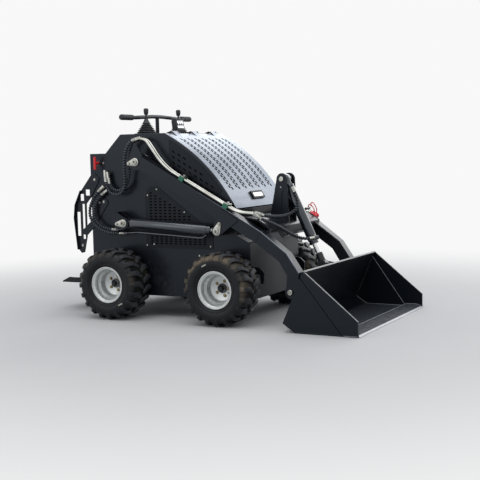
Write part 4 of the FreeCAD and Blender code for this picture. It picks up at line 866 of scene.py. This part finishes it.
# Bucket: black plate, greyer on its scraped floor, with a pale line along the sides' upper edges that is
# partly worn paint and partly a painted highlight. Its welds are rough and grey, and the cutting edge is
# bright only along the lip.
bucket_black = (0.0048, 0.0060, 0.0088)
bucket_paint = coat_of_paint("bucket_paint", bucket_black, 0.28, 0.3)
chips = bucket_paint.noise(55.0, 5.0).rise(0.42, 0.6)
side_top, side_front = at(1403, 0, 372), at(1740, 0, 93)
wear_strip = (0.589, 0.591)
above_floor, below_floor = (0.0105, 0.0085), (0.0045, 0.006)
# The pale line along the sides' upper edges: worn paint, lightened further as a painted highlight.
edge_wear_and_highlight = near_line(bucket_paint, side_top, side_front, 0.003) * (0.6 + 0.4 * chips)
edge_wear_and_highlight = edge_wear_and_highlight * abs(bucket_paint.along("Y")).rise(*wear_strip)
scrape = bucket_paint.noise(22.0, 5.0, (0.3, 2.5, 1)).rise(0.3, 0.75)
inside = bucket_paint.along("Z").rise(*above_floor) * bucket_paint.along("Z").rise(*below_floor)
ground = bucket_paint.mix(inside * (0.5 + 0.5 * scrape), bucket_black, (0.034, 0.038, 0.046))
bucket_paint.wear(Base_Color=bucket_paint.mix(edge_wear_and_highlight, ground, (0.30, 0.30, 0.30)))
dress("bucket_shell", bucket_paint.material, 0.0018)
weld_grey = moulded("weld_grey", (0.15, 0.155, 0.165), 0.5)
bucket_welds = []
for hand in (1, -1):
    side = hand * 582
    bucket_welds.append(bead([at(1404, side, 362), at(1271, side, 60), at(1348, side, 8), at(1622, side, 8)],
                             3.0))
    bucket_welds.append(bead([at(1390, side, 338), at(1622, side, 10)], 2.6))
    bucket_welds.append(bead([at(1630, side, 21), at(1706, side, 21), at(1736, side, 9)], 2.8))
    bucket_welds.append(bead([at(1652, hand * 595, 5), at(1738, hand * 595, 5)], 3.2))
bucket_welds.append(bead([at(1627, 575, 20), at(1627, -575, 20)], 2.6))
put("bucket_welds", bucket_welds, weld_grey, "bucket")

# A dead black bead at the back of each side's wear strip is painted shadow, standing for the shade under the
# strip's edge; then the zinc heads of the pins in the arms' feet.
painted_seam_shadows = [bead([at(1384, hand * 591, 330), at(1640, hand * 591, 8)], 3.2) for hand in (1, -1)]
put("bucket_seam_shadows", painted_seam_shadows, painted_shade_black.material, "bucket")
foot_pins = []
for hand in (1, -1):
    head = [(-0.001, 0.0001), (-0.001, 0.0165), (0.003, 0.0165), (0.005, 0.0150), (0.005, 0.0095),
            (0.002, 0.0085), (0.002, 0.0050), (0.008, 0.0042), (0.009, 0.0001)]
    foot_pins.append(turned(head, at(1262, hand * 473, 222), (0, hand, 0), 36))
put("foot_pin_heads", foot_pins, zinc, body_of["quick_attach"])

edge_steel = Finish("edge_steel", IOR=1.15)
lip_starts = (1.145, 1.149)
lip = edge_steel.along("X").rise(*lip_starts)
edge_scrape = edge_steel.noise(45.0, 5.0, (3, 0.3, 1)).rise(0.3, 0.7)
scraped = edge_steel.mix(edge_scrape, (0.022, 0.025, 0.031), (0.055, 0.060, 0.070))
edge_steel.wear(Base_Color=edge_steel.mix(lip, scraped, (0.50, 0.51, 0.54)))
edge_steel.wear(Metallic=0.5 * lip, Roughness=0.6 - 0.1 * edge_scrape)
edge_steel.bump(edge_scrape, 0.0001)
dress("cutting_edge", edge_steel.material)


# Platform: a folded steel deck with raised tread bars, where the operator stands. It is painted in a
# rougher black than the frame, stays dusty, and hangs on a hinge behind the tub.
tread_paint = coat_of_paint("tread_paint", (0.010, 0.010, 0.012), 0.42, 0.7).material
dress("operator_platform", tread_paint)


# Wheels: four loader tyres on dished steel rims. The rims are painted off-white and held by five
# brass-coloured bolts round an iron hub with a black nut; the tyres have hooked lugs and dusty shoulders.
wheelbase = 800
axle_height = 228.5
tyre_middle = 485
lug_tip = 228.3
lug_count = 20


def on_tyre(round_mm, y, radius):
    """A place on a tyre about its own middle: a distance round the tread, a y and a radius, in mm."""
    turn = round_mm / lug_tip
    return Vector((radius * math.sin(turn), y, radius * math.cos(turn))) / 1000


def tread_lug():
    """One hooked lug of the tyre's left half, as a loft from the middle of the tread to the shoulder."""
    stations = [(3, 6, 29, 228.3, 208), (26, -13, 20, 228.4, 208), (48, -30, 9, 228.4, 207),
                (70, -30, 4, 227.4, 205), (90, -29, 3, 223.5, 200), (101, -28, 2, 212, 192),
                (107.6, -26, 0, 196, 182)]
    sections = []
    for y, low, high, top, base in stations:
        sections.append([on_tyre(low - 2, y, base), on_tyre(low + 1.5, y, top),
                         on_tyre((low + high) / 2, y, top), on_tyre(high - 1.5, y, top),
                         on_tyre(high + 2, y, base)])
    return rounded(loft(sections), 0.0022, 2, 30)


def spun_round(piece, count, shift=0.0):
    """The piece and its copies evenly round the wheel's axle."""
    copies = []
    for number in range(count):
        copy = bpy.data.objects.new("copy", piece.data.copy())
        scene.collection.objects.link(copy)
        copy.matrix_world = Matrix.Rotation(math.tau * (number + shift) / count, 4, "Y")
        copies.append(copy)
    return copies


def dusty_rubber(name, axle, amount):
    """Black rubber: brown dust on the upper half of the shoulder, thinner dust between the lugs, and lighter,
    bluer lug tops that are partly worn rubber and partly a painted highlight.
    """
    # The specular is tinted blue: a painted sky colour in the reflections.
    rubber = Finish(name, IOR=1.36, Specular_Tint=(0.85, 0.92, 1.0))
    x = rubber.along("X") - axle[0]
    z = rubber.along("Z") - axle[2]
    radius = (x ** 2.0 + z ** 2.0) ** 0.5
    cloud = rubber.noise(14.0, 5.0)
    speckle = rubber.noise(120.0, 4.0)
    shoulder_low, shoulder_high = (0.176, 0.197), (0.222, 0.204)
    tread_base, lug_tops = (0.205, 0.215), (0.219, 0.2268)
    shoulder = radius.rise(*shoulder_low) * radius.rise(*shoulder_high)
    upper = z.rise(-0.13, 0.05) * rubber.noise(4.5, 2.0).rise(0.3, 0.55)
    dust = shoulder * upper * cloud.rise(0.33, 0.55) * (0.35 + 0.65 * speckle.rise(0.3, 0.7)) * amount
    tread = radius.rise(*tread_base) * cloud.rise(0.45, 0.75) * 0.1
    # Lug tops are lighter and bluer: partly worn rubber, partly a painted highlight of the sky on them.
    lug_top_wear_and_highlight = radius.rise(*lug_tops)
    dark = rubber.mix(cloud, (0.0036, 0.0040, 0.0048), (0.0075, 0.0079, 0.0090))
    dark = rubber.mix(lug_top_wear_and_highlight, dark, (0.036, 0.038, 0.043))
    rubber.wear(Base_Color=rubber.mix(dust + tread, dark, (0.190, 0.148, 0.102)))
    rubber.wear(Roughness=0.42 + 0.3 * dust + 0.1 * cloud)
    rubber.bump(rubber.noise(260.0, 3.0), 0.0003)
    return rubber.material


rim_paint = Finish("rim_paint", Coat_Weight=0.3, Coat_Roughness=0.12, Metallic=0.6)
rim_cloud = rim_paint.noise(11.0, 4.0)
rim_grime = rim_paint.noise(70.0, 5.0).rise(0.55, 0.8)
rim_white = rim_paint.mix(rim_cloud, (0.54, 0.56, 0.555), (0.64, 0.655, 0.65))
rim_paint.wear(Base_Color=rim_paint.mix(0.5 * rim_grime, rim_white, (0.17, 0.155, 0.13)))
rim_paint.wear(Roughness=0.3 + 0.15 * rim_cloud)
rim_paint.bump(rim_paint.noise(300.0, 2.0), 0.0001)
brass = plated("brass", (0.33, 0.27, 0.15), 0.28, (0.20, 0.16, 0.09))
hub_iron = plated("hub_iron", (0.20, 0.20, 0.20), 0.35, (0.08, 0.08, 0.08))
mark_paint = moulded("mark_paint", (0.42, 0.42, 0.34), 0.6)
lug_left = tread_lug()
tyre_profile = [(-86, 104), (-88, 112), (-88.5, 122), (-94, 126), (-99, 131), (-101, 136), (-99.5, 139),
                (-103, 142), (-106.5, 152), (-108, 164), (-107.4, 176), (-105.5, 186), (-101, 196),
                (-93, 205), (-80, 211), (-50, 214), (0, 215.5)]
tyre_profile += [(-y, radius) for y, radius in tyre_profile[-2::-1]]
tyre_inner = [(82, 106), (84, 124), (96, 150), (96, 176), (86, 196), (0, 203), (-86, 196), (-96, 176),
              (-96, 150), (-84, 124), (-82, 106)]
closed_tyre = [(y / 1000, radius / 1000) for y, radius in tyre_profile + tyre_inner + tyre_profile[:1]]
rim_profile = [(93, 118), (90.5, 119), (88, 118), (88, 105), (86, 103), (54, 101), (42, 88), (-54, 88),
               (-62, 101), (-88, 103), (-88, 118), (-93, 118), (-93, 113), (-91, 100), (-66, 96), (-58, 83),
               (-24, 83), (-20, 65), (-20, 22.3), (-13, 22.3), (-13, 60), (-9, 66), (-9, 73), (-5, 80),
               (0, 83), (36, 83), (40, 85), (52, 96), (56, 97.5), (60, 96.5), (66, 96.5), (70, 98.5),
               (82, 99), (86, 102), (88, 108), (90, 112), (93, 113), (93, 118)]
for end, axle_x in (("rear", 0), ("front", wheelbase)):
    for side_name, hand in (("right", -1), ("left", 1)):
        axle = at(axle_x, hand * tyre_middle, axle_height)
        body = body_of[f"tyre_{end}_{side_name}"]
        dustiness = 0.25 if end == "rear" else 1.0
        carcass = turned(closed_tyre, (0, 0, 0), (0, 1, 0), 96)
        lugs = spun_round(lug_left, lug_count)
        mirrored_lugs = spun_round(lug_left, lug_count, 0.5)
        for lug in mirrored_lugs:
            lug.matrix_world = lug.matrix_world @ Matrix.Scale(-1, 4, (0, 1, 0))
        parts = [carcass] + lugs + mirrored_lugs
        for part in parts:
            handed = Matrix.Scale(hand, 4, (0, 1, 0))
            part.matrix_world = Matrix.Translation(axle) @ handed @ part.matrix_world
        rubber = dusty_rubber(f"rubber_{end}_{side_name}", axle, dustiness)
        tyre = put(f"tyre_{end}_{side_name}_tread", parts, rubber, None, smooth=40)
        bpy.ops.object.mode_set(mode="EDIT")
        bpy.ops.mesh.select_all(action="SELECT")
        bpy.ops.mesh.normals_make_consistent(inside=False)
        bpy.ops.object.mode_set(mode="OBJECT")
        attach(tyre, body)
        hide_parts(f"tyre_{end}_{side_name}")
        outward = Vector((0, hand, 0))
        rim = turned([(y / 1000, radius / 1000) for y, radius in rim_profile], axle, outward, 72)
        put(f"rim_{end}_{side_name}", [rim], rim_paint.material, body,
            [f"wheel_{end}_{side_name}"], 40)
        wheel_bolts = []
        bolt_circle = 0.047
        for number in range(5):
            angle = math.radians(72 * number)
            round_hub = Vector((bolt_circle * math.cos(angle), -hand * 0.013, bolt_circle * math.sin(angle)))
            wheel_bolts += bolt(axle + round_hub, outward, 9)
        put(f"wheel_bolts_{end}_{side_name}", wheel_bolts, brass, body)
        ring = [(-0.013, 0.0226), (-0.013, 0.031), (-0.010, 0.031), (-0.008, 0.0275), (0.003, 0.0265),
                (0.006, 0.0235), (0.006, 0.0226), (-0.013, 0.0226)]
        put(f"hub_ring_{end}_{side_name}", [turned(ring, axle, outward, 40)], hub_iron, body)
        nut = [(0.004, 0.0225), (0.004, 0.0130), (0.014, 0.0130), (0.015, 0.0118), (0.015, 0.0075),
               (0.018, 0.0070), (0.0185, 0.0001), (0.002, 0.0001), (0.002, 0.0225), (0.004, 0.0225)]
        valve = [(0, 0.0001), (0, 0.005), (0.012, 0.0045), (0.012, 0.0035), (0.030, 0.0033), (0.030, 0.0042),
                 (0.038, 0.0042), (0.038, 0.0001)]
        valve_foot = axle + Vector((0.079, hand * 0.014, -0.018))
        black_parts = [turned(nut, axle, outward, 30), turned(valve, valve_foot, (-0.2, hand, 0), 14)]
        put(f"hub_nut_{end}_{side_name}", black_parts, grip_rubber, body)
        # A short dash of paint on the wall, where the tyre was marked when it was balanced.
        turn = math.radians(-47 if end == "rear" else 112)
        mark_radius, wall = 0.164, 0.1073
        middle = axle + Vector((mark_radius * math.cos(turn), hand * wall, mark_radius * math.sin(turn)))
        along, across = Vector((0.015, 0, 0.0075)), Vector((-0.0018, 0, 0.0036))
        corners = [middle + along + across, middle - along + across,
                   middle - along - across, middle + along - across]
        dash = loft([corners, [corner + 0.0016 * outward for corner in corners]])
        put(f"tyre_mark_{end}_{side_name}", [dash], mark_paint, body)
bpy.data.objects.remove(lug_left)
